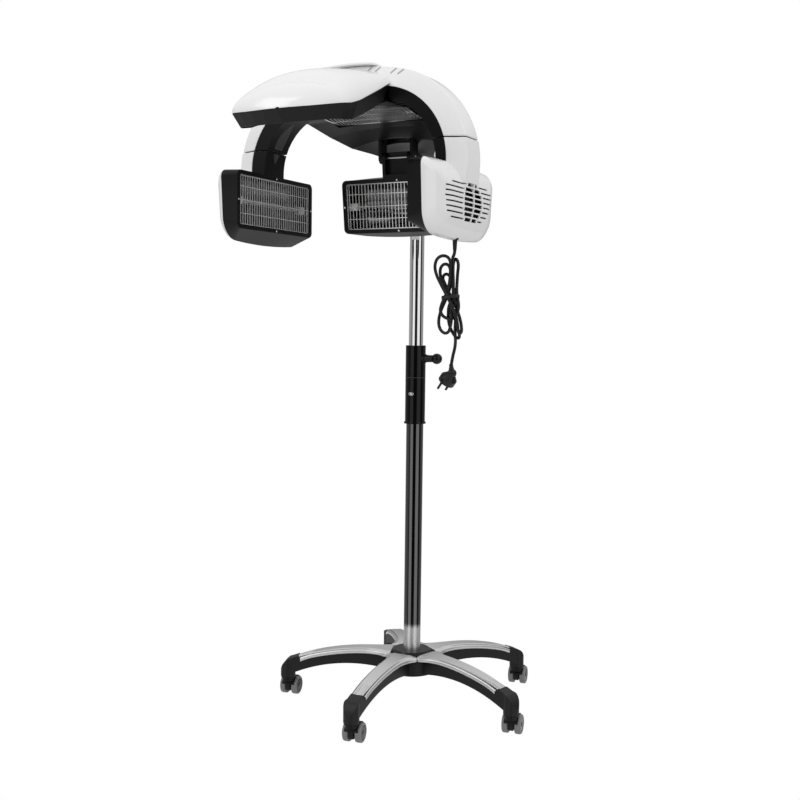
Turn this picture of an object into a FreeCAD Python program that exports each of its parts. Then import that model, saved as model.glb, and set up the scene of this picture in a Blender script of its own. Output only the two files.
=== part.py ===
import FreeCAD, Part
import math
import os

# Hair color processor on a wheeled stand: a hooded head with three infrared lamp pods,
# carried by a telescopic chrome column on a five-legged base with twin-wheel casters.
# Millimetres. Origin: on the floor under the column axis. +Z up, -Y front of the head,
# +X the side whose lamp pod has the mains cord.

V = FreeCAD.Vector
ORIGIN = V(0, 0, 0)
X_AXIS = V(1, 0, 0)
Y_AXIS = V(0, 1, 0)
Z_AXIS = V(0, 0, 1)

# ---- clearances ----
RUN_FIT = 0.05          # radial clearance of a shaft in its hole
SEAT_GAP = 0.3          # gap between seated neighbours
SHELL_WALL = 3.0        # moulded wall of the white and black shells
OVERCUT = 1.0           # how far a cutting tool reaches past a face

# ---- base ----
LEG_COUNT = 5
FIRST_LEG_DEG = -88.0
CASTER_CIRCLE_R = 290.0
WHEEL_R = 21.0
WHEEL_WIDTH = 15.0
WHEEL_SPACE = 12.0      # between the two wheels of one caster
CASTER_TRAIL = 19.0     # wheel axle behind the stem axis
CASTER_HEADING_DEG = 100.0
STEM_R = 5.5
STEM_LENGTH = 20.0
AXLE_R = 3.0
SOCKET_R = 17.0
SOCKET_Z = 48.0         # underside of the leg-end sockets
LEG_TOP_Z = 127.0       # crest of the leg covers
LEG_TOP_CREST_R = 90.0  # distance of that crest from the column
LEG_TOP_ARC = 545.0
LEG_ARCH_Z = 89.5       # crest of the underside arch
LEG_ARCH_CREST_R = 130.0
LEG_UNDER_ARC = 357.0
LEG_HALF_HUB = 17.5     # half width of a leg at the hub
LEG_HALF_TIP = 14.5
HUB_R = 52.0
HUB_CAP_R = 45.0
HUB_CAP_TOP = 128.0
HUB_CAP_THICK = 6.0
COVER_WALL = 2.0
COVER_SKIRT = 11.0
COVER_TIP_R = 265.0
COVER_SEAM = 0.6        # gap between neighbouring covers

# ---- column ----
LOWER_TUBE_R = 19.2
LOWER_TUBE_WALL = 1.6
LOWER_TUBE_TOP = 749.0
UPPER_TUBE_R = 16.0
UPPER_TUBE_WALL = 1.5
UPPER_TUBE_FOOT = 400.0
UPPER_TUBE_TOP = 1300.0
GLIDE_LENGTH = 40.0
SLEEVE_R = 22.5
SLEEVE_FOOT = 645.0
SLEEVE_TOP = 821.0
SLEEVE_FLANGE_R = 24.5
SLEEVE_FLANGE_H = 4.0
KNOB_Z = 792.0
KNOB_BALL_R = 12.0
KNOB_REACH = 53.0       # ball centre from the column axis
KNOB_STALK_R = 8.5
KNOB_SCREW_R = 4.0

# ---- head: arch ----
HEAD_Y = -277.0         # middle plane of the arch and of the side lamps
ARCH_HALF_SPAN = 261.0
ARCH_SPRING_Z = 1180.0
ARCH_RISE = 193.0
ARCH_SIDE_R = 185.6
ARCH_FLAT_HALF = 28.0   # half width of the outer flat
ARCH_SHELL_DEPTH = 39.0
ARCH_EDGE_HALF = 43.5   # half width where white shell meets black liner
LINER_DEPTH = 26.0
LINER_HALF = 35.0
SEAM_Z = 1222.0         # arch ends here, lamp pod necks begin
SEAM_GAP = 2.6

# ---- head: canopy, hood, ceiling ----
DOME_POWER = 2.1
HOOD_POWER = 2.3
RIM_INSET = 17.0        # at the front; the sides stand steeper and hang lower
RIM_DROP = 23.0
RIM_SIDE_INSET = 11.0
RIM_SIDE_DROP = 33.0
PAD_HALF_X = 62.0
PAD_HALF_Y = 41.0
PAD_RISE = 3.6       # top of the crown pad above the arch

# ---- head: carrying frame inside ----
FRAME_Z = ARCH_SPRING_Z + ARCH_RISE - 47.0   # its underside, below the crown of the arch
FRAME_H = 6.0
CROSS_H = 4.0
POST_X = 80.0           # posts up to the arch either side of the middle
EAR_INNER = 34.0        # hangers of the rear pod, from the middle plane
EAR_OUTER = 42.0

# ---- lamp unit, in its own frame: x across, y up, z depth behind the face ----
FACE_HALF_W = 137.0
FACE_HALF_H = 58.0
WINDOW_HALF_W = 128.0
WINDOW_HALF_H = 49.5
BEZEL_DEPTH = 32.0
BACK_HALF_TOP = 149.0   # half width of the moulded outline near its top
BACK_HALF_LOW = 139.0   # and near its chin
BACK_TOP = 62.5
BACK_CHIN = -84.0
REAR_CHIN = -69.0
TOP_BOW = 4.0           # how much the top edge drops toward the ends
CHIN_BOW = 4.0
CASING_DEPTH = 67.0
GRILLE_THICK = 1.5
GRILLE_BORDER = 4.0
WIRE_PITCH = 8.1
WIRE_WIDTH = 1.3
REFLECTOR_WALL = 1.0
REFLECTOR_HALF_W = 127.0
REFLECTOR_HALF_H = 51.0
REFLECTOR_FRONT = 5.2
REFLECTOR_DEPTH = 35.0
QUARTZ_R = 5.5
QUARTZ_Z = 19.0
CERAMIC_SIZE = 16.0
CERAMIC_LENGTH = 20.0

# ---- lamp pods ----
SIDE_FACE_X = 190.0
SIDE_LAMP_Z = 1113.0
SIDE_PIVOT_X = 244.0
SIDE_PIVOT_Z = 1234.0
REAR_FACE_Y = -95.0
REAR_LAMP_Z = 1124.0
REAR_TILT_DEG = 7.0
REAR_DEPTH = 54.0
REAR_PIVOT_UP = 101.0   # pivot above the rear face centre, along the face
REAR_PIVOT_DEEP = 12.0
PIN_R = 2.5
LUG_R = 5.2

# ---- fan ----
FAN_R = 38.0
FAN_SHIFT = 9.0         # fan centre toward the rear of the pod
FAN_DROP = -12.7        # fan centre below the lamp centre
FAN_Z0 = 39.0
FAN_Z1 = 55.0
FAN_HUB_R = 13.0
FAN_BLADES = 7
VENT_R = 41.0           # circle of wide slots over the fan
VENT_ROWS = 8
VENT_PITCH = 9.3

# ---- top lamp ----
TOP_LAMP_Y = -224.0
TOP_LAMP_Z = 1291.0
TOP_TILT_DEG = 8.7
TOP_HALF_FRONT = 125.0
TOP_HALF_REAR = 102.0
TOP_HALF_DEPTH = 52.0
TOP_REFLECTOR_DEPTH = 30.0
TOP_QUARTZ_Y = 18.0     # of the two tubes either side of the middle
TOP_QUARTZ_Z = 14.0
TOP_CERAMIC_SIZE = 12.0

# ---- cord ----
CORD_R = 3.1
CORD_X = 224.0
CORD_Y = -279.0
CORD_EXIT_Z = 1031.0
RELIEF_LENGTH = 20.0
COLLAR_R = 7.0
HANK_THICK = 36.0


def save(name, shape):
    shape.exportStep("parts/%s.step" % name)


def box(x0, x1, y0, y1, z0, z1):
    return Part.makeBox(x1 - x0, y1 - y0, z1 - z0, V(x0, y0, z0))


def rod(radius, start, end):
    return Part.makeCylinder(radius, (end - start).Length, start, end - start)


def pipe(outer, inner, z0, z1):
    return rod(outer, V(0, 0, z0), V(0, 0, z1)).cut(rod(inner, V(0, 0, z0 - OVERCUT), V(0, 0, z1 + OVERCUT)))


def polygon(points):
    return Part.Face(Part.makePolygon(points + [points[0]]))


def prism(points, direction):
    return polygon(points).extrude(direction)


def turned(shape, degrees, centre=ORIGIN, axis=Z_AXIS):
    copy = shape.copy()
    copy.rotate(centre, axis, degrees)
    return copy


def mirrored_x(shape):
    return shape.mirror(ORIGIN, X_AXIS)


def placed_by(shape, matrix):
    copy = shape.copy()
    copy.Placement = FreeCAD.Placement(matrix).multiply(copy.Placement)
    return copy


def largest(shape):
    return sorted(shape.Solids, key=lambda s: s.Volume)[-1]


def union(shapes):
    first = shapes[0]
    return first.fuse(shapes[1:]).removeSplitter() if len(shapes) > 1 else first


# ------------------------------------------------------------------ base

def arc_height(crest_z, crest_r, radius, r):
    return crest_z - radius + math.sqrt(radius ** 2 - (r - crest_r) ** 2)


def leg_side(r0, r1, drop, under):
    """Side outline of a leg from r0 to r1: crest arc lowered by drop, and an under line."""
    def top(r):
        return V(r, 0, arc_height(LEG_TOP_Z - drop, LEG_TOP_CREST_R, LEG_TOP_ARC - drop, r))

    mid = (r0 + r1) / 2.0
    edges = [Part.Arc(top(r0), top(mid), top(r1)).toShape()]
    low0 = under(r0)
    low1 = under(r1)
    edges.append(Part.makeLine(top(r1), low1))
    edges.append(Part.Arc(low1, under(mid), low0).toShape())
    edges.append(Part.makeLine(low0, top(r0)))
    return Part.Face(Part.Wire(edges))


def arch_under(r):
    return V(r, 0, arc_height(LEG_ARCH_Z, LEG_ARCH_CREST_R, LEG_UNDER_ARC, r))


def skirt_under(r):
    drop = COVER_SKIRT
    return V(r, 0, arc_height(LEG_TOP_Z - drop, LEG_TOP_CREST_R, LEG_TOP_ARC - drop, r))


def leg_plan(half_hub, half_tip, r0, r1, z0, z1):
    points = [V(r0, -half_hub, z0), V(r1, -half_tip, z0), V(r1, half_tip, z0), V(r0, half_hub, z0)]
    return prism(points, V(0, 0, z1 - z0))


def thick_side(face, half):
    solid = face.extrude(V(0, 2 * half, 0))
    solid.translate(V(0, -half, 0))
    return solid


def leg_body():
    """Arched leg: low under the cover, full height past the cover's tip, socket at the end."""
    under_cover = COVER_WALL + SEAT_GAP
    inner = thick_side(leg_side(20.0, COVER_TIP_R + SEAT_GAP, under_cover, arch_under), HUB_R)
    outer = thick_side(leg_side(COVER_TIP_R + SEAT_GAP, CASTER_CIRCLE_R + SOCKET_R, 0.0, arch_under), HUB_R)
    plan = leg_plan(LEG_HALF_HUB, LEG_HALF_TIP, 0.0, CASTER_CIRCLE_R, 0.0, 2 * LEG_TOP_Z)
    round_end = rod(SOCKET_R, V(CASTER_CIRCLE_R, 0, 0), V(CASTER_CIRCLE_R, 0, 2 * LEG_TOP_Z))
    body = union([inner, outer]).common(union([plan, round_end]))
    top = arc_height(LEG_TOP_Z, LEG_TOP_CREST_R, LEG_TOP_ARC, CASTER_CIRCLE_R) - SOCKET_R
    socket = rod(SOCKET_R, V(CASTER_CIRCLE_R, 0, SOCKET_Z), V(CASTER_CIRCLE_R, 0, top))
    bore = rod(STEM_R + RUN_FIT, V(CASTER_CIRCLE_R, 0, SOCKET_Z - OVERCUT),
               V(CASTER_CIRCLE_R, 0, SOCKET_Z + STEM_LENGTH + OVERCUT))
    below = rod(2 * SOCKET_R, V(CASTER_CIRCLE_R, 0, 0), V(CASTER_CIRCLE_R, 0, SOCKET_Z))
    return body.cut(below).fuse(socket).cut(bore).cut(leg_nose())


def leg_nose():
    """What is taken off the outer end of a leg to round its top over."""
    r_end = CASTER_CIRCLE_R + SOCKET_R
    start = V(COVER_TIP_R + SEAT_GAP, 0, arc_height(LEG_TOP_Z, LEG_TOP_CREST_R, LEG_TOP_ARC, COVER_TIP_R + SEAT_GAP))
    nose = V(r_end, 0, SOCKET_Z + 12.0)
    middle = V(CASTER_CIRCLE_R + 5.0, 0, start.z - 14.0)
    above = V(r_end + 20.0, 0, LEG_TOP_Z)
    edges = [Part.Arc(start, middle, nose).toShape(), Part.makeLine(nose, V(above.x, 0, nose.z)),
             Part.makeLine(V(above.x, 0, nose.z), above), Part.makeLine(above, V(start.x, 0, above.z)),
             Part.makeLine(V(start.x, 0, above.z), start)]
    return thick_side(Part.Face(Part.Wire(edges)), HUB_R)


def cover_plan(grow, reach):
    """Plan of one leg cover: wide at the hub, where it meets its neighbours, then a slim taper."""
    half_angle = math.pi / LEG_COUNT
    r_corner = 68.0 + grow
    corner = V(r_corner * math.cos(half_angle), r_corner * math.sin(half_angle) - COVER_SEAM / 2, 0)
    hub = HUB_CAP_R - 2.0
    near = V(hub * math.cos(half_angle), hub * math.sin(half_angle) - COVER_SEAM / 2, 0)
    waist = V(105.0, 21.5 + grow, 0)
    bend = V(76.0, 27.0 + grow, 0)
    tip = V(COVER_TIP_R + reach, 17.5 + grow, 0)

    def flip(p):
        return V(p.x, -p.y, 0)

    edges = [Part.makeLine(near, corner), Part.Arc(corner, bend, waist).toShape(),
             Part.makeLine(waist, tip), Part.makeLine(tip, flip(tip)), Part.makeLine(flip(tip), flip(waist)),
             Part.Arc(flip(waist), flip(bend), flip(corner)).toShape(),
             Part.makeLine(flip(corner), flip(near)), Part.makeLine(flip(near), near)]
    return Part.Face(Part.Wire(edges)).extrude(V(0, 0, 2 * LEG_TOP_Z))


def leg_cover():
    tall = HUB_R * 2
    outer = thick_side(leg_side(HUB_CAP_R - 6.0, COVER_TIP_R, 0.0, skirt_under), tall)
    hollow = thick_side(leg_side(HUB_CAP_R - 8.0, COVER_TIP_R + 5.0, COVER_WALL,
                                 lambda r: skirt_under(r) - V(0, 0, 5.0)), tall)
    cover = outer.common(cover_plan(0.0, 0.0))
    return cover.cut(hollow.common(cover_plan(-COVER_WALL, 5.0)))


def make_base():
    leg_angles = [FIRST_LEG_DEG + i * 360.0 / LEG_COUNT for i in range(LEG_COUNT)]
    hub_under = arc_height(LEG_ARCH_Z, LEG_ARCH_CREST_R, LEG_UNDER_ARC, HUB_R) - 4.0
    hub_top = HUB_CAP_TOP - HUB_CAP_THICK - SEAT_GAP
    hub = rod(HUB_R - 10.0, V(0, 0, hub_under), V(0, 0, hub_top))
    hub_ring = rod(HUB_R, V(0, 0, hub_under), V(0, 0, hub_top - COVER_SKIRT))
    body = union([hub, hub_ring] + [turned(leg_body(), a) for a in leg_angles])
    body = body.cut(rod(LOWER_TUBE_R, V(0, 0, hub_under + 6.0), V(0, 0, hub_top + OVERCUT)))
    body = body.cut(rod(HUB_CAP_R + SEAT_GAP, V(0, 0, hub_top), V(0, 0, 2 * LEG_TOP_Z)))
    save("star_base", body)

    clear = rod(HUB_CAP_R + SEAT_GAP, V(0, 0, 0), V(0, 0, 2 * LEG_TOP_Z))
    covers = [turned(leg_cover().cut(clear), a) for a in leg_angles]
    save("leg_covers", Part.makeCompound(covers))

    cap = Part.makeCone(HUB_CAP_R, HUB_CAP_R - 5.0, HUB_CAP_THICK, V(0, 0, hub_top + SEAT_GAP), Z_AXIS)
    cap = cap.cut(rod(LOWER_TUBE_R + SEAT_GAP, V(0, 0, 0), V(0, 0, 2 * LEG_TOP_Z)))
    save("hub_cap", cap)

    bolt_head = rod(11.0, V(0, 0, hub_under - 7.0), V(0, 0, hub_under))
    bolt_washer = rod(18.0, V(0, 0, hub_under - 2.0), V(0, 0, hub_under))
    save("base_bolt", union([bolt_head, bolt_washer]))
    return leg_angles, hub_under + 6.0


def make_casters(leg_angles):
    half = WHEEL_SPACE / 2.0
    for i, angle in enumerate(leg_angles):
        a = math.radians(angle)
        stem = V(CASTER_CIRCLE_R * math.cos(a), CASTER_CIRCLE_R * math.sin(a), 0)
        axle = V(CASTER_TRAIL, 0, WHEEL_R)

        ring = rod(SOCKET_R - 1.0, V(0, 0, SOCKET_Z - 4.0), V(0, 0, SOCKET_Z - SEAT_GAP))
        neck = rod(SOCKET_R - 4.0, V(0, 0, SOCKET_Z - 12.0), V(0, 0, SOCKET_Z - 4.0))
        spindle = rod(STEM_R, V(0, 0, SOCKET_Z - 5.0), V(0, 0, SOCKET_Z + STEM_LENGTH))
        guard_r = WHEEL_R + 2.0
        web = rod(guard_r, axle - V(0, half - SEAT_GAP, 0), axle + V(0, half - SEAT_GAP, 0))
        guard = rod(guard_r, axle - V(0, half + WHEEL_WIDTH * 0.6, 0), axle + V(0, half + WHEEL_WIDTH * 0.6, 0))
        guard = guard.cut(rod(WHEEL_R + 0.8, axle - V(0, 60, 0), axle + V(0, 60, 0)))
        keep = box(axle.x - 60, axle.x + 60, -60, 60, WHEEL_R + 6.0, SOCKET_Z + 40)
        web_keep = box(axle.x - 60, axle.x + 60, -60, 60, WHEEL_R - 9.0, SOCKET_Z + 40)
        fork = union([ring, neck, guard.common(keep), web.common(web_keep)])
        fork = fork.cut(rod(AXLE_R + RUN_FIT, axle - V(0, 60, 0), axle + V(0, 60, 0)))
        wheel_room = rod(WHEEL_R + 0.8, axle + V(0, half, 0), axle + V(0, 60, 0))
        fork = fork.cut(wheel_room).cut(wheel_room.mirror(ORIGIN, Y_AXIS))
        fork = fork.fuse(spindle)

        wheels = []
        for side in (-1, 1):
            inner = axle + V(0, side * half, 0)
            outer = axle + V(0, side * (half + WHEEL_WIDTH), 0)
            wheel = rod(WHEEL_R, inner, outer)
            rim = [e for e in wheel.Edges if isinstance(e.Curve, Part.Circle)]
            wheel = wheel.makeFillet(3.0, rim)
            wheel = wheel.cut(rod(AXLE_R, inner - V(0, side * OVERCUT, 0), outer))
            wheels.append(wheel)
        pin_end = half + WHEEL_WIDTH - 2.0
        wheels.append(rod(AXLE_R, axle - V(0, pin_end, 0), axle + V(0, pin_end, 0)))

        for name, shape in (("caster_fork", fork), ("caster_wheels", Part.makeCompound(wheels))):
            placed = turned(shape, CASTER_HEADING_DEG)
            placed.translate(stem)
            save("%s_%d" % (name, i + 1), placed)


# ---------------------------------------------------------------- column

def make_column(tube_foot):
    save("lower_tube", pipe(LOWER_TUBE_R, LOWER_TUBE_R - LOWER_TUBE_WALL, tube_foot, LOWER_TUBE_TOP))

    bush_foot = LOWER_TUBE_TOP + SEAT_GAP
    bore = LOWER_TUBE_R + RUN_FIT
    sleeve = rod(SLEEVE_R, V(0, 0, SLEEVE_FOOT), V(0, 0, SLEEVE_TOP))
    flange = rod(SLEEVE_FLANGE_R, V(0, 0, SLEEVE_FOOT), V(0, 0, SLEEVE_FOOT + SLEEVE_FLANGE_H))
    boss = rod(KNOB_STALK_R + 2.0, V(UPPER_TUBE_R + 4.0, 0, KNOB_Z), V(SLEEVE_R + 2.0, 0, KNOB_Z))
    sleeve = union([sleeve, flange, boss])
    sleeve = sleeve.cut(rod(bore, V(0, 0, SLEEVE_FOOT - OVERCUT), V(0, 0, SLEEVE_TOP - 2.0)))
    sleeve = sleeve.cut(rod(UPPER_TUBE_R + 1.0, V(0, 0, SLEEVE_FOOT), V(0, 0, SLEEVE_TOP + OVERCUT)))
    screw_hole = rod(KNOB_SCREW_R + RUN_FIT, V(UPPER_TUBE_R, 0, KNOB_Z), V(SLEEVE_R + 4.0, 0, KNOB_Z))
    save("clamp_sleeve", sleeve.cut(screw_hole))

    bush = pipe(LOWER_TUBE_R, UPPER_TUBE_R + RUN_FIT, bush_foot, SLEEVE_TOP - 2.0 - SEAT_GAP)
    save("sleeve_bush", bush.cut(screw_hole))

    stalk_end = SLEEVE_R + 2.0 + SEAT_GAP
    screw = rod(KNOB_SCREW_R, V(UPPER_TUBE_R + SEAT_GAP, 0, KNOB_Z), V(KNOB_REACH, 0, KNOB_Z))
    stalk = Part.makeCone(KNOB_STALK_R, KNOB_STALK_R - 1.0, KNOB_REACH - stalk_end,
                          V(stalk_end, 0, KNOB_Z), X_AXIS)
    ball = Part.makeSphere(KNOB_BALL_R, V(KNOB_REACH, 0, KNOB_Z))
    save("clamp_knob", union([screw, stalk, ball]))

    save("upper_tube", pipe(UPPER_TUBE_R, UPPER_TUBE_R - UPPER_TUBE_WALL, UPPER_TUBE_FOOT, UPPER_TUBE_TOP))
    glide_r = LOWER_TUBE_R - LOWER_TUBE_WALL - RUN_FIT
    plug_r = UPPER_TUBE_R - UPPER_TUBE_WALL
    glide = rod(glide_r, V(0, 0, UPPER_TUBE_FOOT - 8.0), V(0, 0, UPPER_TUBE_FOOT))
    spigot = rod(plug_r, V(0, 0, UPPER_TUBE_FOOT - OVERCUT), V(0, 0, UPPER_TUBE_FOOT + GLIDE_LENGTH))
    save("tube_glide", union([glide, spigot]))


# ------------------------------------------------------------------ arch

SIDE_C = V(ARCH_HALF_SPAN - ARCH_SIDE_R, HEAD_Y, ARCH_SPRING_Z)
CROWN_R = ((ARCH_HALF_SPAN ** 2 + ARCH_RISE ** 2 - 2 * ARCH_HALF_SPAN * ARCH_SIDE_R)
           / (2 * (ARCH_RISE - ARCH_SIDE_R)))
CROWN_C = V(0, HEAD_Y, ARCH_SPRING_Z + ARCH_RISE - CROWN_R)
SHOULDER_DEG = math.degrees(math.atan2(SIDE_C.z - CROWN_C.z, SIDE_C.x))


def arch_sweep(section, x_cut, z_low=SEAM_Z, z_high=1600.0):
    """Sweep a section, given as (depth below the outer flat, half width) points round one side
    of the arch, along the side arc and the crown arc, kept beyond x_cut and between two heights."""
    def swept(centre, radius, from_deg, to_deg):
        a = math.radians(from_deg)
        out = V(math.cos(a), 0, math.sin(a))
        points = [centre + out * (radius - depth) + V(0, half, 0) for depth, half in section]
        return polygon(points).revolve(centre, V(0, -1, 0), to_deg - from_deg)

    side = swept(SIDE_C, ARCH_SIDE_R, 0.0, SHOULDER_DEG)
    crown = swept(CROWN_C, CROWN_R, SHOULDER_DEG, 94.0)
    arm = side.fuse(crown).removeSplitter()
    keep = box(x_cut, 400, HEAD_Y - 100, HEAD_Y + 100, z_low, z_high)
    return arm.common(keep)


def arch_shell_section():
    d = ARCH_SHELL_DEPTH
    w = SHELL_WALL
    return [(0, -ARCH_FLAT_HALF), (0, ARCH_FLAT_HALF), (d, ARCH_EDGE_HALF), (d, ARCH_EDGE_HALF - w),
            (w, ARCH_FLAT_HALF - w), (w, -ARCH_FLAT_HALF + w), (d, -ARCH_EDGE_HALF + w), (d, -ARCH_EDGE_HALF)]


def arch_liner_section():
    d = ARCH_SHELL_DEPTH + SEAT_GAP
    f = ARCH_SHELL_DEPTH + LINER_DEPTH
    w = SHELL_WALL
    e = ARCH_EDGE_HALF
    h = LINER_HALF
    return [(d, -e), (f, -h), (f, h), (d, e), (d, e - w), (f - w, h - w), (f - w, -h + w), (d, -e + w)]


def arch_solid_section(grow):
    f = ARCH_SHELL_DEPTH + LINER_DEPTH
    d = ARCH_SHELL_DEPTH
    return [(-grow, -ARCH_FLAT_HALF - grow), (-grow, ARCH_FLAT_HALF + grow), (d, ARCH_EDGE_HALF + grow),
            (f + grow, LINER_HALF + grow), (f + grow, -LINER_HALF - grow), (d, -ARCH_EDGE_HALF - grow)]


# ------------------------------------------------- canopy, hood, ceiling

def arched_section(y, half, foot, crown, power, inset):
    """Closed section at y: a superellipse over a straight foot line."""
    a = half - inset
    h = crown - inset - foot
    points = []
    steps = 12
    for k in range(steps + 1):
        t = math.pi * k / steps
        x = a * math.copysign(abs(math.cos(t)) ** (2.0 / power), math.cos(t))
        z = foot + h * abs(math.sin(t)) ** (2.0 / power)
        points.append(V(x, y, z))
    curve = Part.BSplineCurve()
    curve.interpolate(points)
    return Part.Wire([curve.toShape(), Part.makeLine(points[-1], points[0])])


def arched_shell(stations, power, open_drop, shift):
    """Shell lofted through stations (y, half width, foot height, crown height). The hollow is the
    same loft drawn in by the wall and shifted along y, so that one end stays closed."""
    outer = Part.makeLoft([arched_section(y, a, e, c, power, 0.0) for y, a, e, c in stations], True, False)
    inner = Part.makeLoft([arched_section(y + shift, a, e - open_drop, c, power, SHELL_WALL)
                           for y, a, e, c in stations], True, False)
    return outer.cut(inner)


DOME = [(-555.0, 18.0, 1249.2, 1253.0), (-552.0, 36.0, 1249.6, 1262.0), (-546.0, 67.0, 1250.4, 1274.5),
        (-538.0, 97.0, 1252.0, 1286.0), (-527.0, 120.0, 1254.0, 1297.5), (-510.0, 124.5, 1257.0, 1312.0),
        (-480.0, 123.5, 1266.0, 1330.0), (-436.0, 118.0, 1283.0, 1342.5), (-380.0, 109.0, 1305.0, 1353.0),
        (-324.0, 100.0, 1328.0, 1361.5), (-300.0, 96.0, 1337.0, 1364.0)]

HOOD = [(-245.0, 171.0, 1300.0, 1364.0), (-200.0, 161.0, 1295.0, 1366.0), (-150.0, 138.0, 1273.0, 1364.0),
        (-110.0, 106.0, 1253.0, 1358.0), (-70.0, 75.0, 1244.0, 1353.0), (-35.0, 54.0, 1236.0, 1349.0),
        (0.0, 46.0, 1229.0, 1345.0), (34.0, 38.0, 1229.0, 1338.0)]

# ceiling under canopy and hood: (y, half width, edge height, crown)
CEILING = [(-532.5, 14.0, 1227.5, 2.0), (-526.5, 50.0, 1228.5, 4.0), (-517.0, 82.0, 1230.0, 7.0),
           (-506.0, 99.0, 1230.0, 12.0), (-480.0, 104.0, 1238.0, 20.0), (-436.0, 100.0, 1254.0, 27.0),
           (-380.0, 93.0, 1277.0, 25.0), (-324.0, 92.0, 1293.0, 14.0), (-277.0, 130.0, 1287.0, 15.0),
           (-240.0, 171.0, 1292.0, 6.0), (-200.0, 162.0, 1290.0, 4.0), (-150.0, 139.0, 1269.0, 12.0),
           (-110.0, 107.0, 1249.0, 16.0), (-70.0, 76.0, 1240.0, 16.0), (-35.0, 55.0, 1232.0, 14.0),
           (0.0, 47.0, 1225.0, 12.0), (34.0, 39.0, 1225.0, 8.0)]


def ceiling_section(y, half, edge, crown):
    """Closed profile of the ceiling sheet at y: cosine crown below, the same one wall higher above."""
    def curve(lift, ends):
        points = []
        for k in range(9):
            s = ends * (-1.0 + k / 4.0)
            points.append(V(s * half, y, edge + lift + crown * math.cos(s * math.pi / 2)))
        spline = Part.BSplineCurve()
        spline.interpolate(points)
        return points, spline.toShape()

    low, low_edge = curve(0.0, 1.0)
    high, high_edge = curve(SHELL_WALL, -1.0)
    return Part.Wire([low_edge, Part.makeLine(low[-1], high[0]), high_edge, Part.makeLine(high[-1], low[0])])


def make_canopy(arch_room):
    """White canopy and the black rim that runs round under its edge."""
    shell = largest(arched_shell(DOME, DOME_POWER, 4.0, SHELL_WALL).cut(arch_room))
    save("canopy_shell", shell)

    rim_path = [(100.0, -324.0, 1327.8, 0.0), (109.0, -380.0, 1305.0, 0.0), (118.0, -436.0, 1283.0, 0.0),
                (123.5, -480.0, 1266.0, 0.1), (124.5, -510.0, 1257.0, 0.45), (120.0, -527.0, 1254.0, 0.8),
                (97.0, -538.0, 1252.0, 1.0), (67.0, -546.0, 1250.4, 1.0), (36.0, -552.0, 1249.6, 1.0)]
    half = [V(x, y, z) for x, y, z, k in rim_path]
    frontness = [k for x, y, z, k in rim_path]
    path = half + [V(0, -556.0, 1249.0)] + [V(-p.x, p.y, p.z) for p in reversed(half)]
    sizes = frontness + [1.0] + list(reversed(frontness))
    wires = []
    for i, p in enumerate(path):
        before = path[max(i - 1, 0)]
        after = path[min(i + 1, len(path) - 1)]
        along = V(after.x - before.x, after.y - before.y, 0)
        along.normalize()
        inward = V(along.y, -along.x, 0)
        if inward.dot(V(0, -420, 0) - V(p.x, p.y, 0)) < 0:
            inward = inward * -1
        k = sizes[i]
        drop = RIM_DROP * k + RIM_SIDE_DROP * (1 - k)
        inset = RIM_INSET * k + RIM_SIDE_INSET * (1 - k)
        low = V(0, 0, -2 * SEAT_GAP)
        ring = [p + low, p + inward * inset - V(0, 0, drop), p + inward * (inset + SHELL_WALL) - V(0, 0, drop),
                p + inward * (SHELL_WALL + 1.0) + low]
        wires.append(Part.makePolygon(ring + [ring[0]]))
    rim = largest(Part.makeLoft(wires, True, True).cut(arch_room).cut(shell))
    save("canopy_rim", rim)
    return rim


def ceiling_openings():
    """Room for the rear lamp's hangers and the mast socket."""
    rear = rear_pivot_point()
    hangers = box(-EAR_OUTER - 1.0, EAR_OUTER + 1.0, rear.y - 13.0, rear.y + 13.0, 1200, 1300)
    mast = rod(UPPER_TUBE_R + 6.0, V(0, 0, 1200), V(0, 0, 1300))
    return hangers.fuse(mast)


def top_lamp_frame(shape):
    """Place a lamp-frame shape in the ceiling: x to -X, y to the front and up, z up."""
    t = math.radians(TOP_TILT_DEG)
    c = math.cos(t)
    s = math.sin(t)
    matrix = FreeCAD.Matrix(-1, 0, 0, 0, 0, -c, s, TOP_LAMP_Y, 0, s, c, TOP_LAMP_Z, 0, 0, 0, 1)
    return placed_by(shape, matrix)


def top_trapezoid(grow, z0, z1):
    w0 = TOP_HALF_REAR + grow
    w1 = TOP_HALF_FRONT + grow
    d = TOP_HALF_DEPTH + grow
    points = [V(-w0, -d, z0), V(w0, -d, z0), V(w1, d, z0), V(-w1, d, z0)]
    return prism(points, V(0, 0, z1 - z0))


def make_ceiling(arch_room, rim, hood):
    """Black ceiling sheet in two parts, one under the canopy and one under the hood."""
    sheet = Part.makeLoft([ceiling_section(*row) for row in CEILING], True, True)
    sheet = sheet.cut(top_lamp_frame(top_trapezoid(SEAT_GAP - 1.0, -40.0, 40.0)))
    sheet = sheet.cut(ceiling_openings()).cut(arch_room).cut(rim).cut(hood)
    split = HEAD_Y + 2.0
    save("canopy_liner", largest(sheet.common(box(-300, 300, -700, split, 1100, 1500))))
    save("hood_liner", largest(sheet.common(box(-300, 300, split + COVER_SEAM, 200, 1100, 1500))))


# ------------------------------------------------------------ lamp units

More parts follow.
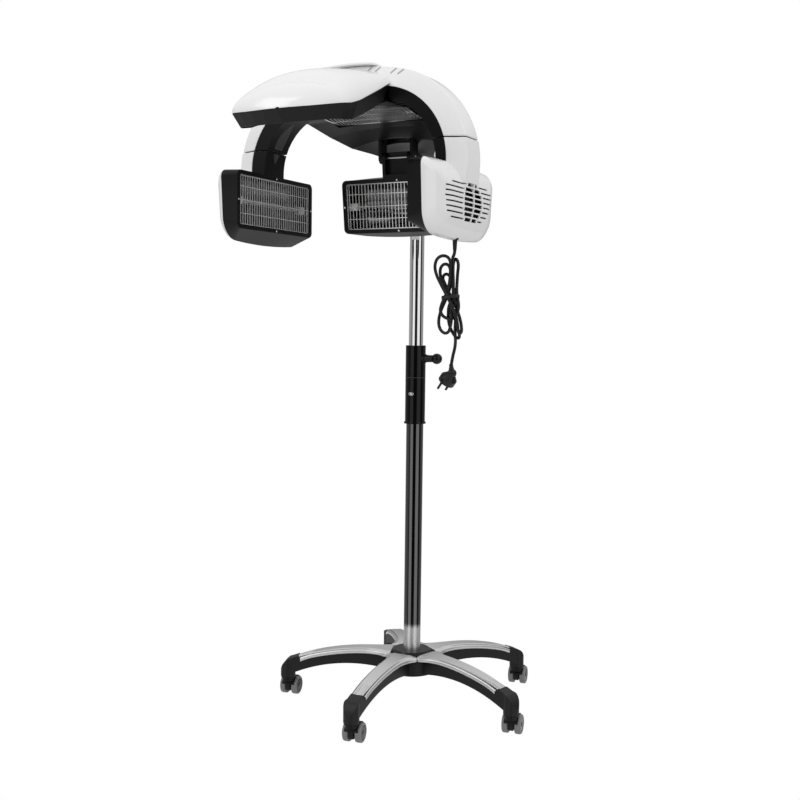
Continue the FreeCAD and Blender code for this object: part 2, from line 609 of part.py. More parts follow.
def outline(half_top, half_low, top, bottom, bow_top, bow_low, r_top, r_low, z):
    """Moulded outline: bowed top and chin, leaning sides, own radii for the upper and lower corners."""
    k = math.sqrt(0.5)
    y1 = top - bow_top
    y0 = bottom + bow_low
    lean = (half_top - half_low) / (y1 - y0)
    up = V(half_top - r_top, y1, z)
    side_up = V(half_top - lean * r_top, y1 - r_top, z)
    side_low = V(half_low + lean * r_low, y0 + r_low, z)
    low = V(half_low - r_low, y0, z)
    corner_up = V(half_top - r_top * (1 - k), y1 - r_top * (1 - k) + 0.15 * bow_top, z)
    corner_low = V(half_low - r_low * (1 - k), y0 + r_low * (1 - k), z)

    def flip(p):
        return V(-p.x, p.y, p.z)

    edges = [Part.Arc(flip(low), V(0, bottom, z), low).toShape() if bow_low else Part.makeLine(flip(low), low),
             Part.Arc(low, corner_low, side_low).toShape(), Part.makeLine(side_low, side_up),
             Part.Arc(side_up, corner_up, up).toShape(),
             Part.Arc(up, V(0, top, z), flip(up)).toShape() if bow_top else Part.makeLine(up, flip(up)),
             Part.Arc(flip(up), flip(corner_up), flip(side_up)).toShape(),
             Part.makeLine(flip(side_up), flip(side_low)),
             Part.Arc(flip(side_low), flip(corner_low), flip(low)).toShape()]
    return Part.Wire(edges)


def plain_outline(half_w, half_h, radius, z):
    return outline(half_w, half_w, half_h, -half_h, 0.0, 0.0, radius, radius, z)


def back_outline(inset, chin, z):
    """Outline of the moulded back, drawn in by an inset."""
    shrink = max(1.0 - inset / 60.0, 0.1)
    return outline(BACK_HALF_TOP - inset, BACK_HALF_LOW - inset, BACK_TOP - inset, chin + inset,
                   TOP_BOW * shrink, CHIN_BOW * shrink, 18.0 - 0.17 * inset, 42.0 - 0.62 * inset, z)


def slab(half_w, half_h, radius, z0, z1):
    return Part.Face(plain_outline(half_w, half_h, radius, z0)).extrude(V(0, 0, z1 - z0))


def bezel_shell(chin):
    w = SHELL_WALL
    outer = Part.makeLoft([plain_outline(FACE_HALF_W, FACE_HALF_H, 11, 0),
                           back_outline(0.0, chin, BEZEL_DEPTH)], True, True)
    inner = Part.makeLoft([plain_outline(FACE_HALF_W - w, FACE_HALF_H - w, 9, w),
                           back_outline(w, chin, BEZEL_DEPTH)], True, True)
    return outer.cut(inner).cut(slab(WINDOW_HALF_W, WINDOW_HALF_H, 5.0, -OVERCUT, w + OVERCUT))


# rounded back of a casing: (fraction of the depth behind the bezel, inset of the outline)
BACK_PROFILE = [(0.0, 0.0), (0.18, 3.0), (0.34, 8.0), (0.48, 13.5), (0.60, 19.0), (0.71, 27.0),
                (0.81, 36.0), (0.90, 46.0), (1.0, 60.0)]


def casing_shell(depth, chin):
    z0 = BEZEL_DEPTH + SEAT_GAP
    full = depth - z0
    w = SHELL_WALL
    squash = (BACK_TOP - chin) / (BACK_TOP - BACK_CHIN)
    profile = [(z0 + f * full, i * squash) for f, i in BACK_PROFILE]
    outer = [back_outline(i, chin, z) for z, i in profile]
    inner = []
    for k, (z, i) in enumerate(profile):
        before = profile[max(k - 1, 0)]
        after = profile[min(k + 1, len(profile) - 1)]
        dz = after[0] - before[0]
        di = after[1] - before[1]
        run = math.hypot(dz, di)
        lip = OVERCUT if k == 0 else 0.0
        inner.append(back_outline(i + w * dz / run, chin, z - w * di / run - lip))
    return Part.makeLoft(outer, True, False), Part.makeLoft(inner, True, False)


def grille(half_w0, half_w1, half_h, wires):
    """Welded wire grille: a border with upright wires and three cross wires."""
    z0 = SHELL_WALL + SEAT_GAP
    b = GRILLE_BORDER
    points = [V(-half_w0, -half_h, z0), V(half_w0, -half_h, z0),
              V(half_w1, half_h, z0), V(-half_w1, half_h, z0)]
    plate = prism(points, V(0, 0, GRILLE_THICK))
    inner = [V(-half_w0 + b, -half_h + b, z0), V(half_w0 - b, -half_h + b, z0),
             V(half_w1 - b, half_h - b, z0), V(-half_w1 + b, half_h - b, z0)]
    frame = plate.cut(prism(inner, V(0, 0, GRILLE_THICK)))
    bars = []
    for i in range(wires):
        x = (i - (wires - 1) / 2.0) * WIRE_PITCH
        bars.append(box(x - WIRE_WIDTH / 2, x + WIRE_WIDTH / 2, -half_h + b / 2, half_h - b / 2,
                        z0, z0 + GRILLE_THICK))
    for y in (-half_h * 0.52, 0.0, half_h * 0.52):
        bars.append(box(-half_w1, half_w1, y - WIRE_WIDTH / 2, y + WIRE_WIDTH / 2, z0, z0 + GRILLE_THICK))
    lattice = bars[0].multiFuse(bars[1:]).common(plate)
    return frame.fuse(lattice).removeSplitter()


def reflector(half_w, half_h, depth):
    """Polished trough: an arched sheet with flat ends."""
    z0 = REFLECTOR_FRONT
    w = REFLECTOR_WALL

    def trough(inset, x_half):
        a = V(-x_half, -half_h + inset, z0)
        b = V(-x_half, 0, depth - inset)
        c = V(-x_half, half_h - inset, z0)
        face = Part.Face(Part.Wire([Part.Arc(a, b, c).toShape(), Part.makeLine(c, a)]))
        return face.extrude(V(2 * x_half, 0, 0))

    return trough(0.0, half_w).cut(trough(w, half_w - w))


def heater(half_w, y, z, ceramic):
    """Quartz tube with a square ceramic holder at each end."""
    inside = half_w - REFLECTOR_WALL - SEAT_GAP
    tube_half = inside - CERAMIC_LENGTH
    solids = [rod(QUARTZ_R, V(-tube_half, y, z), V(tube_half, y, z))]
    h = ceramic / 2
    for side in (-1, 1):
        x0 = min(side * tube_half, side * inside)
        solids.append(box(x0, x0 + CERAMIC_LENGTH, y - h, y + h, z - h, z + h))
    return Part.makeCompound(solids)


# reach of the thin slots in front of and behind the fan, row by row from the lowest
THIN_FRONT = [78.0, 97.0, 101.0, 102.0, 105.0, 105.0, 105.0, 78.0]
THIN_REAR = [62.0, 78.0, 86.0, 91.0, 98.0, 99.0, 99.0, 84.0]


def vent_slots():
    """Rows of slots in the side casing: wide ones in a circle over the fan, thin ones beside it."""
    cuts = []
    z0 = CASING_DEPTH - 22.0
    z1 = CASING_DEPTH + 5.0
    for row in range(VENT_ROWS):
        offset = (row - (VENT_ROWS - 1) / 2.0) * VENT_PITCH
        y = FAN_DROP + offset
        reach = VENT_R * math.sqrt(1.0 - (offset / (VENT_R + 2.0)) ** 2)
        tall = 3.3
        cuts.append(box(FAN_SHIFT - reach, FAN_SHIFT + 2.0, y - tall, y + tall, z0, z1))
        cuts.append(box(FAN_SHIFT + 5.0, FAN_SHIFT + reach, y - tall, y + tall, z0, z1))
        thin = 1.4
        cuts.append(box(-THIN_FRONT[row], FAN_SHIFT - reach - 5.0, y - thin, y + thin, z0, z1))
        cuts.append(box(FAN_SHIFT + reach + 5.0, THIN_REAR[row], y - thin, y + thin, z0, z1))
    return Part.makeCompound(cuts)


NECK_TOP = SEAM_Z - SEAM_GAP
PIVOT_Y = SIDE_PIVOT_Z - SIDE_LAMP_Z
PIVOT_Z = SIDE_PIVOT_X - SIDE_FACE_X


def to_lamp_frame(shape):
    """Head coordinates of the right pod to the lamp frame, the inverse of side_place."""
    matrix = FreeCAD.Matrix(0, 1, 0, -HEAD_Y, 0, 0, 1, -SIDE_LAMP_Z, 1, 0, 0, -SIDE_FACE_X, 0, 0, 0, 1)
    return placed_by(shape, matrix)


def side_neck(section, foot_z):
    """Neck of a right pod: the arch section carried on below the seam, then straight down."""
    half = [V(ARCH_HALF_SPAN - depth, HEAD_Y + w, foot_z) for depth, w in section]
    straight = polygon(half).extrude(V(0, 0, ARCH_SPRING_Z - foot_z))
    round_part = arch_sweep(section, 0.0, ARCH_SPRING_Z, NECK_TOP)
    return to_lamp_frame(straight.fuse(round_part).removeSplitter())


def neck_fairing(depth):
    """Wedge that lets the foot of the neck run out on the back of the casing."""
    reach = ARCH_HALF_SPAN - SIDE_FACE_X
    top = BACK_TOP - 2.5
    low = 8.0
    flat = ARCH_FLAT_HALF
    edge = ARCH_EDGE_HALF
    z_edge = reach - depth
    wires = []
    for y, z_out, z_in, wider in ((top, reach, z_edge, 0.0), (low, CASING_DEPTH - 1.0, z_edge + 4.0, 3.0)):
        ring = [V(-flat - wider, y, z_out), V(flat + wider, y, z_out),
                V(edge + wider, y, z_in), V(-edge - wider, y, z_in)]
        wires.append(Part.makePolygon(ring + [ring[0]]))
    return Part.makeLoft(wires, True, True)


def side_casing():
    """White outer shell of a side pod with its neck, fan vents and hinge lugs."""
    w = SHELL_WALL
    outer, inner = casing_shell(CASING_DEPTH, BACK_CHIN)
    foot = SIDE_LAMP_Z + BACK_TOP - 2.5
    depth = ARCH_SHELL_DEPTH - SEAT_GAP
    solid = [(0, -ARCH_FLAT_HALF), (0, ARCH_FLAT_HALF), (depth, ARCH_EDGE_HALF), (depth, -ARCH_EDGE_HALF)]
    hollow = [(w, -ARCH_FLAT_HALF + w), (w, ARCH_FLAT_HALF - w), (depth + OVERCUT, ARCH_EDGE_HALF - w),
              (depth + OVERCUT, -ARCH_EDGE_HALF + w)]
    neck = side_neck(solid, foot)
    room = side_neck(hollow, foot - 5.0)
    shell = outer.fuse([neck, neck_fairing(depth)]).cut(inner).cut(room).cut(vent_slots())
    floor_y = NECK_TOP - SIDE_LAMP_Z - 16.0
    slice_box = box(-60, 60, floor_y, floor_y + w, 20, 100)
    shallow = box(-60, 60, floor_y - OVERCUT, floor_y + w + OVERCUT, PIVOT_Z - LUG_R - 2.0, 100)
    floor = side_neck(solid, foot).common(slice_box).common(shallow)
    lugs = []
    for side in (-1, 1):
        x0 = side * 14.0
        x1 = side * 19.0
        lugs.append(rod(LUG_R, V(x0, PIVOT_Y, PIVOT_Z), V(x1, PIVOT_Y, PIVOT_Z)))
        lugs.append(box(min(x0, x1), max(x0, x1), floor_y, PIVOT_Y, PIVOT_Z - LUG_R, PIVOT_Z + LUG_R - 2.0))
    shell = union([shell, floor] + lugs)
    shell = shell.cut(rod(PIN_R + RUN_FIT, V(-40, PIVOT_Y, PIVOT_Z), V(40, PIVOT_Y, PIVOT_Z)))
    bosses = []
    for at in fan_ears():
        bosses.append(rod(4.0, at + V(0, 0, FAN_Z1 + SEAT_GAP), at + V(0, 0, CASING_DEPTH - 9.5)))
    return shell.fuse(bosses)


def side_bezel():
    w = SHELL_WALL
    foot = SIDE_LAMP_Z + FACE_HALF_H - w
    d0 = ARCH_SHELL_DEPTH
    d1 = ARCH_SHELL_DEPTH + LINER_DEPTH
    solid = [(d0, -ARCH_EDGE_HALF), (d1, -LINER_HALF), (d1, LINER_HALF), (d0, ARCH_EDGE_HALF)]
    hollow = [(d0 - OVERCUT, -ARCH_EDGE_HALF + w), (d1 - w, -LINER_HALF + w), (d1 - w, LINER_HALF - w),
              (d0 - OVERCUT, ARCH_EDGE_HALF - w)]
    keep = union([box(-200, 200, BACK_TOP + SEAT_GAP, 200, -50, 100), box(-200, 200, 0, 200, -50, BEZEL_DEPTH)])
    neck = side_neck(solid, foot).common(keep)
    return bezel_shell(BACK_CHIN).fuse(neck).cut(side_neck(hollow, foot + w))


def fan_ears():
    """Centres of the four fan mounting screws."""
    return [V(FAN_SHIFT + sx * 37.0, FAN_DROP + sy * 36.0, 0) for sx in (-1, 1) for sy in (-1, 1)]


def fan_frame():
    """Fan guard ring with four mounting ears, three spokes and the motor."""
    at = V(FAN_SHIFT, FAN_DROP, 0)
    bore = rod(FAN_R + 1.5, at, at + V(0, 0, 100))
    pieces = [rod(FAN_R + 3.5, at + V(0, 0, FAN_Z0), at + V(0, 0, FAN_Z1))]
    for ear in fan_ears():
        inward = at + (ear - at) * 0.6
        pieces.append(box(min(ear.x, inward.x) - 4.0, max(ear.x, inward.x) + 4.0, min(ear.y, inward.y) - 4.0,
                          max(ear.y, inward.y) + 4.0, FAN_Z1 - 3.0, FAN_Z1))
    frame = union(pieces).cut(bore)
    inside = [rod(FAN_HUB_R + 1.0, at + V(0, 0, FAN_Z0), at + V(0, 0, FAN_Z0 + 5.0)),
              rod(2.0, at + V(0, 0, FAN_Z0 + 4.0), at + V(0, 0, FAN_Z1 - 2.0))]
    spoke = box(0, FAN_R + 2.5, -2.0, 2.0, FAN_Z0, FAN_Z0 + 2.5)
    for k in range(3):
        arm = turned(spoke, 30.0 + 120.0 * k)
        arm.translate(at)
        inside.append(arm)
    return union([frame] + inside)


def fan_rotor():
    """Seven-bladed axial rotor on the motor spindle."""
    z0 = FAN_Z0 + 5.0 + SEAT_GAP
    z1 = FAN_Z1 - 1.0
    hub = rod(FAN_HUB_R, V(0, 0, z0), V(0, 0, z1))
    blades = []
    for k in range(FAN_BLADES):
        blade = box(FAN_HUB_R - 2.0, FAN_R, -9.0, 9.0, -0.8, 0.8)
        blade.rotate(ORIGIN, X_AXIS, 32.0)
        blade.translate(V(0, 0, (z0 + z1) / 2.0))
        blades.append(turned(blade, 360.0 * k / FAN_BLADES))
    rotor = union([hub] + blades).common(rod(FAN_R, V(0, 0, z0), V(0, 0, z1)))
    rotor = rotor.cut(rod(2.0 + RUN_FIT, V(0, 0, 0), V(0, 0, FAN_Z1 - 2.0 + SEAT_GAP)))
    rotor.translate(V(FAN_SHIFT, FAN_DROP, 0))
    return rotor


def side_place(shape):
    """Lamp frame to the right pod: depth points away from the middle, up stays up."""
    matrix = FreeCAD.Matrix(0, 0, 1, SIDE_FACE_X, 1, 0, 0, HEAD_Y, 0, 1, 0, SIDE_LAMP_Z, 0, 0, 0, 1)
    return placed_by(shape, matrix)


def make_side_pods():
    wires = int(2 * WINDOW_HALF_W / WIRE_PITCH)
    pieces = {
        "bezel": side_bezel(),
        "grille": grille(WINDOW_HALF_W + 2, WINDOW_HALF_W + 2, WINDOW_HALF_H + 2, wires),
        "reflector": reflector(REFLECTOR_HALF_W, REFLECTOR_HALF_H, REFLECTOR_DEPTH),
        "heater": heater(REFLECTOR_HALF_W, 0.0, QUARTZ_Z, CERAMIC_SIZE),
        "fan_frame": fan_frame(),
        "fan_rotor": fan_rotor(),
    }
    exit_x = CORD_Y - HEAD_Y
    exit_z = CORD_X - SIDE_FACE_X
    exit_hole = rod(COLLAR_R + RUN_FIT, V(exit_x, BACK_CHIN - 10, exit_z), V(exit_x, BACK_CHIN + 12, exit_z))
    pieces["casing"] = side_casing()
    for name, shape in pieces.items():
        with_exit = shape.cut(exit_hole) if name in ("casing", "bezel") else shape
        save("right_" + name, side_place(with_exit))
        save("left_" + name, mirrored_x(side_place(shape)))


def rear_place(shape):
    t = math.radians(REAR_TILT_DEG)
    c = math.cos(t)
    s = math.sin(t)
    matrix = FreeCAD.Matrix(-1, 0, 0, 0, 0, -s, c, REAR_FACE_Y, 0, c, s, REAR_LAMP_Z, 0, 0, 0, 1)
    return placed_by(shape, matrix)


def make_rear_pod():
    w = SHELL_WALL
    outer, inner = casing_shell(REAR_DEPTH, REAR_CHIN)
    save("rear_casing", rear_place(outer.cut(inner)))

    half = EAR_INNER - SEAT_GAP
    neck = box(-half, half, FACE_HALF_H - w, REAR_PIVOT_UP, 0.0, 2 * REAR_PIVOT_DEEP)
    knuckle = rod(REAR_PIVOT_DEEP, V(-half, REAR_PIVOT_UP, REAR_PIVOT_DEEP),
                  V(half, REAR_PIVOT_UP, REAR_PIVOT_DEEP))
    scoop = box(-half + 7.0, half - 7.0, FACE_HALF_H + 8.0, REAR_PIVOT_UP + 20, -OVERCUT, 14.0)
    neck = union([neck, knuckle]).cut(scoop)
    neck = neck.cut(rod(PIN_R + RUN_FIT, V(-60, REAR_PIVOT_UP, REAR_PIVOT_DEEP),
                        V(60, REAR_PIVOT_UP, REAR_PIVOT_DEEP)))
    bezel = bezel_shell(REAR_CHIN).fuse(neck.cut(box(-half, half, 0, BACK_TOP + SEAT_GAP, BEZEL_DEPTH, 60)))
    save("rear_bezel", rear_place(bezel))

    wires = int(2 * WINDOW_HALF_W / WIRE_PITCH)
    save("rear_grille", rear_place(grille(WINDOW_HALF_W + 2, WINDOW_HALF_W + 2, WINDOW_HALF_H + 2, wires)))
    save("rear_reflector", rear_place(reflector(REFLECTOR_HALF_W, REFLECTOR_HALF_H, REFLECTOR_DEPTH)))
    save("rear_heater", rear_place(heater(REFLECTOR_HALF_W, 0.0, QUARTZ_Z, CERAMIC_SIZE)))


def rear_pivot_point():
    t = math.radians(REAR_TILT_DEG)
    y = REAR_FACE_Y - REAR_PIVOT_UP * math.sin(t) + REAR_PIVOT_DEEP * math.cos(t)
    z = REAR_LAMP_Z + REAR_PIVOT_UP * math.cos(t) + REAR_PIVOT_DEEP * math.sin(t)
    return V(0, y, z)


def make_top_lamp():
    wires = int(2 * TOP_HALF_REAR / WIRE_PITCH)
    save("top_grille", top_lamp_frame(grille(TOP_HALF_REAR - 1, TOP_HALF_FRONT - 1, TOP_HALF_DEPTH - 1, wires)))
    half = TOP_HALF_REAR - 6.0
    save("top_reflector", top_lamp_frame(reflector(half, TOP_HALF_DEPTH - 4.0, TOP_REFLECTOR_DEPTH)))
    tubes = [heater(half, y, TOP_QUARTZ_Z, TOP_CERAMIC_SIZE) for y in (-TOP_QUARTZ_Y, TOP_QUARTZ_Y)]
    save("top_heaters", top_lamp_frame(Part.makeCompound(tubes)))


# ------------------------------------------------------------ head parts

def crown_height(x):
    """Height of the arch's outer flat near its crown."""
    return CROWN_C.z + math.sqrt(CROWN_R ** 2 - x ** 2)


def rounded_column():
    """Tall column with rounded corners that trims the crown pad."""
    y0 = HEAD_Y - PAD_HALF_Y
    block = box(-PAD_HALF_X, PAD_HALF_X, y0, y0 + 2 * PAD_HALF_Y, 1300, 1400)
    uprights = [e for e in block.Edges if abs(e.Vertexes[0].Z - e.Vertexes[1].Z) > 1.0]
    return block.makeFillet(14.0, uprights)


def make_head():
    room_grow = SEAT_GAP + 0.1
    right_room = arch_sweep(arch_solid_section(room_grow), -1.0)
    arch_room = right_room.fuse(mirrored_x(right_room))
    pivot = V(SIDE_PIVOT_X, HEAD_Y, SIDE_PIVOT_Z)
    pin_hole = rod(PIN_R + RUN_FIT, pivot - V(0, 60, 0), pivot + V(0, 60, 0))
    shell = arch_sweep(arch_shell_section(), COVER_SEAM / 2).cut(pin_hole)
    save("arch_shell_right", shell)
    save("arch_shell_left", mirrored_x(shell))

    pocket = top_lamp_frame(top_trapezoid(SEAT_GAP, -60.0, 60.0))
    liner = largest(arch_sweep(arch_liner_section(), 95.0).cut(pocket))
    save("arch_liner_right", liner)
    save("arch_liner_left", mirrored_x(liner))

    hood = largest(arched_shell(HOOD, HOOD_POWER, 4.0, -SHELL_WALL).cut(arch_room))
    save("hood_shell", hood)
    make_ceiling(arch_room, make_canopy(arch_room), hood)

    pad = [(-PAD_RISE, -PAD_HALF_Y), (-PAD_RISE, PAD_HALF_Y), (-SEAT_GAP, PAD_HALF_Y),
           (-SEAT_GAP, -PAD_HALF_Y)]
    half_pad = arch_sweep(pad, 0.0).common(box(-1, PAD_HALF_X, -400, -100, 1300, 1400))
    pad = half_pad.fuse(mirrored_x(half_pad)).removeSplitter()
    save("crown_pad", pad.common(rounded_column()))

    rear = rear_pivot_point()
    socket = pipe(UPPER_TUBE_R + 5.0, UPPER_TUBE_R + RUN_FIT, 1262.0, UPPER_TUBE_TOP + SEAT_GAP)
    cap = rod(UPPER_TUBE_R + 5.0, V(0, 0, UPPER_TUBE_TOP + SEAT_GAP), V(0, 0, FRAME_Z))
    spine = box(-14.0, 14.0, HEAD_Y - 14.0, 12.0, FRAME_Z, FRAME_Z + FRAME_H)
    cross = box(-112.0, 112.0, HEAD_Y - 14.0, HEAD_Y + 14.0, FRAME_Z, FRAME_Z + CROSS_H)
    yoke = box(-EAR_OUTER, EAR_OUTER, rear.y - 12.0, rear.y + 12.0, FRAME_Z, FRAME_Z + CROSS_H)
    parts = [socket, cap, spine, cross, yoke]
    post_top = crown_height(POST_X + 10.0) - SHELL_WALL - SEAT_GAP
    for side in (-1, 1):
        x = side * POST_X
        parts.append(box(x - 10.0, x + 10.0, HEAD_Y - 10.0, HEAD_Y + 10.0, FRAME_Z, post_top))
        x0 = side * (EAR_INNER + SEAT_GAP)
        x1 = side * EAR_OUTER
        parts.append(box(min(x0, x1), max(x0, x1), rear.y - 12.0, rear.y + 12.0, rear.z, FRAME_Z + CROSS_H))
        parts.append(rod(12.0, V(x0, rear.y, rear.z), V(x1, rear.y, rear.z)))
    save("head_frame", union(parts).cut(rod(PIN_R, rear - V(60, 0, 0), rear + V(60, 0, 0))))

    pins = [rod(PIN_R, V(-EAR_OUTER, rear.y, rear.z), V(EAR_OUTER, rear.y, rear.z))]
    reach = ARCH_FLAT_HALF + 2.5
    for side in (-1, 1):
        p = V(side * pivot.x, pivot.y, pivot.z)
        pins.append(rod(PIN_R, p - V(0, reach, 0), p + V(0, reach, 0)))
    save("pivot_pins", Part.makeCompound(pins))

    z = FRAME_Z + FRAME_H + SEAT_GAP
    posts = [rod(3.0, V(x, -145.0, z), V(x, -145.0, z + 5.0)) for x in (-12.0, 12.0)]
    board = box(-34.0, 34.0, -165.0, -125.0, z + 5.0, z + 6.6)
    relay = box(-28.0, -8.0, -158.0, -132.0, z + 6.6, z + 16.0)
    coil = rod(9.0, V(14.0, -145.0, z + 6.6), V(14.0, -145.0, z + 15.0))
    save("control_board", union([board, relay, coil] + posts))


# ------------------------------------------------------------------ cord

def bent_rod(points, radius):
    """Round cord along straight runs joined by arcs as large as the runs allow."""
    edges = []
    radii = []
    start = points[0]
    for i in range(1, len(points) - 1):
        into = points[i] - points[i - 1]
        out = points[i + 1] - points[i]
        shorter = min(into.Length, out.Length)
        turn = into.getAngle(out)
        bend = 0.45 * shorter / math.tan(turn / 2)
        radii.append(bend)
        a = points[i] - into * (0.45 * shorter / into.Length)
        b = points[i] + out * (0.45 * shorter / out.Length)
        middle = (a + b) * 0.5
        inward = middle - points[i]
        reach = bend / math.cos(turn / 2) - bend
        m = points[i] + inward * (reach / inward.Length)
        edges.append(Part.LineSegment(start, a).toShape())
        edges.append(Part.Arc(a, m, b).toShape())
        start = b
    edges.append(Part.LineSegment(start, points[-1]).toShape())
    wire = Part.Wire(edges)
    circle = Part.Wire([Part.makeCircle(radius, points[0], points[1] - points[0])])
    return wire.makePipeShell([circle], True, True), radii, wire.Length


LEAD = [V(CORD_X, CORD_Y, CORD_EXIT_Z - RELIEF_LENGTH), V(CORD_X, CORD_Y, 1004.0), V(221.4, CORD_Y, 996.0)]
TAIL = [V(226.0, CORD_Y, 846.0), V(224.6, CORD_Y, 818.0), V(220.4, CORD_Y, 791.0)]
HANK_OUTLINE = [(204, 1001), (190, 997), (184.5, 982), (188, 965), (194, 946), (203, 926), (200, 910),
                (196, 890), (198, 866), (206, 853), (222, 842.5), (232, 846), (235, 858), (232, 876),
                (229, 900), (225, 922), (227.5, 946), (229.5, 972), (226, 991), (217, 1001)]
PLUG_AXIS = V(-0.611, 0.214, -0.762)
PIN_ROW = V(0.483, 0.865, -0.144)


def make_cord():
    z_top = CORD_EXIT_Z
    relief = Part.makeCone(CORD_R + 0.5, CORD_R + 1.6, RELIEF_LENGTH,
                           V(CORD_X, CORD_Y, z_top - RELIEF_LENGTH), Z_AXIS)
    collar = rod(COLLAR_R, V(CORD_X, CORD_Y, z_top), V(CORD_X, CORD_Y, z_top + 8.0))
    save("strain_relief", union([relief, collar]))

    curve = Part.BSplineCurve()
    curve.interpolate([V(x, CORD_Y - HANK_THICK / 2, z) for x, z in HANK_OUTLINE], PeriodicFlag=True)
    hank = Part.Face(Part.Wire([curve.toShape()])).extrude(V(0, HANK_THICK, 0))
    save("cord_hank", hank)

    for name, route in (("cord_lead", LEAD), ("cord_tail", TAIL)):
        solid, radii, length = bent_rod(route, CORD_R)
        expected = math.pi * CORD_R ** 2 * length
        print(name, "length %.1f" % length, "radii", ["%.0f" % r for r in radii],
              "volume ratio %.4f" % (solid.Volume / expected))
        save(name, largest(solid.cut(hank)))

    start = TAIL[-1]
    elbow = V(222.0, CORD_Y, 774.0)
    down = start - TAIL[-2]
    down.normalize()
    collar = rod(CORD_R + 1.0, start, start + down * 3.0)
    sleeve = Part.makeCone(CORD_R + 0.6, 7.0, (elbow - start).Length - 2.0, start + down * 2.0, elbow - start)
    knuckle = Part.makeSphere(9.0, elbow)
    flare = Part.makeCone(7.0, 17.0, 12.0, elbow, PLUG_AXIS)
    body = rod(17.0, elbow + PLUG_AXIS * 12.0, elbow + PLUG_AXIS * 23.0)
    pins = []
    for side in (-1, 1):
        foot = elbow + PLUG_AXIS * 23.0 + PIN_ROW * (9.5 * side)
        pins.append(rod(2.4, foot - PLUG_AXIS * 2.0, foot + PLUG_AXIS * 19.0))
    save("plug", union([collar, sleeve, knuckle, flare, body] + pins))


def main():
    os.makedirs("parts", exist_ok=True)
    leg_angles, tube_foot = make_base()
    make_casters(leg_angles)
    make_column(tube_foot)
    make_head()
    make_top_lamp()
    make_side_pods()
    make_rear_pod()
    make_cord()


main()
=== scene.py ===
import math

import bpy
import numpy as np
from mathutils import Matrix, Vector


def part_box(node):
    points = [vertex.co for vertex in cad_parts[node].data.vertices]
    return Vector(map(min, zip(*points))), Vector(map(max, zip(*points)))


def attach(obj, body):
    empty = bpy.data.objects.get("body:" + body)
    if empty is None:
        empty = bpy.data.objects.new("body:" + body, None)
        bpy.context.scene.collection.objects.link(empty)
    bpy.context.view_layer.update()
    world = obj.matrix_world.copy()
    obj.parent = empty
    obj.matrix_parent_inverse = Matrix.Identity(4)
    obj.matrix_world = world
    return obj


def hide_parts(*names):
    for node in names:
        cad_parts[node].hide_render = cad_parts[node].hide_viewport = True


# Looks of a hair color processor: white hooded head with three lamp pods and a lamp in its ceiling, on a
# chrome column with a five-legged base. Lengths in this file are in millimetres; meshes are in metres.

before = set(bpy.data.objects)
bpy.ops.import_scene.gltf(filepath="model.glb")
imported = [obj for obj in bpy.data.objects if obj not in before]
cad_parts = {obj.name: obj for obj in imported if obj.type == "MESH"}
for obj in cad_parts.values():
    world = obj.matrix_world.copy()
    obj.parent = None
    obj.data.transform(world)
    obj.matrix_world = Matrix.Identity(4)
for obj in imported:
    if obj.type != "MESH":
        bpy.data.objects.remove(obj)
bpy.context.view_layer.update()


# ------------------------------------------------------------ camera and studio

CAMERA_TURN, CAMERA_DROP, CAMERA_ROLL = (math.radians(angle) for angle in (27.88, 3.84, 0.71))


def make_camera():
    turn, drop, roll = CAMERA_TURN, CAMERA_DROP, CAMERA_ROLL
    ahead = Vector((-math.sin(turn) * math.cos(drop), math.cos(turn) * math.cos(drop), -math.sin(drop)))
    across = Vector((math.cos(turn), math.sin(turn), 0.0))
    up = across.cross(ahead)
    right = across * math.cos(roll) + up * math.sin(roll)
    top = up * math.cos(roll) - across * math.sin(roll)
    place = Matrix((right, top, -ahead)).transposed().to_4x4()
    place.translation = (1.1346, -2.2179, 0.8645)
    data = bpy.data.cameras.new("camera")
    data.sensor_width = 36.0
    data.lens = 49.73
    data.clip_start = 0.05
    data.clip_end = 60.0
    camera = bpy.data.objects.new("camera", data)
    bpy.context.scene.collection.objects.link(camera)
    camera.matrix_world = place
    bpy.context.scene.camera = camera


def link(tree, source, target):
    tree.links.new(source, target)


def math_node(tree, operation, *values):
    node = tree.nodes.new("ShaderNodeMath")
    node.operation = operation
    for i, value in enumerate(values):
        if isinstance(value, (int, float)):
            node.inputs[i].default_value = value
        else:
            link(tree, value, node.inputs[i])
    return node.outputs[0]


def ramp(tree, factor, stops, smooth=False):
    node = tree.nodes.new("ShaderNodeValToRGB")
    node.color_ramp.interpolation = "EASE" if smooth else "LINEAR"
    elements = node.color_ramp.elements
    while len(elements) < len(stops):
        elements.new(0.5)
    for element, (at, level) in zip(elements, stops):
        element.position = at
        element.color = (level, level, level, 1.0)
    link(tree, factor, node.inputs[0])
    return node.outputs[0]


# studio panels as seen in polished metal: (angle to the right of the camera side, brightness)
STUDIO_BANDS = [(-180, 0.22), (-135, 0.40), (-104, 0.34), (-78, 0.30), (-72, 0.02), (-64, 0.02), (-58, 1.0),
                (-26, 1.0), (-20, 0.01), (16, 0.01), (22, 1.0), (58, 1.0), (64, 0.02), (84, 0.02),
                (92, 0.30), (135, 0.36), (180, 0.22)]
# the same by height, from straight down at 0 to straight up at 1
STUDIO_HEIGHTS = [(0.0, 0.95), (0.345, 0.8), (0.362, 0.0), (0.60, 0.0), (0.70, 0.75), (0.88, 0.95),
                  (1.0, 1.0)]


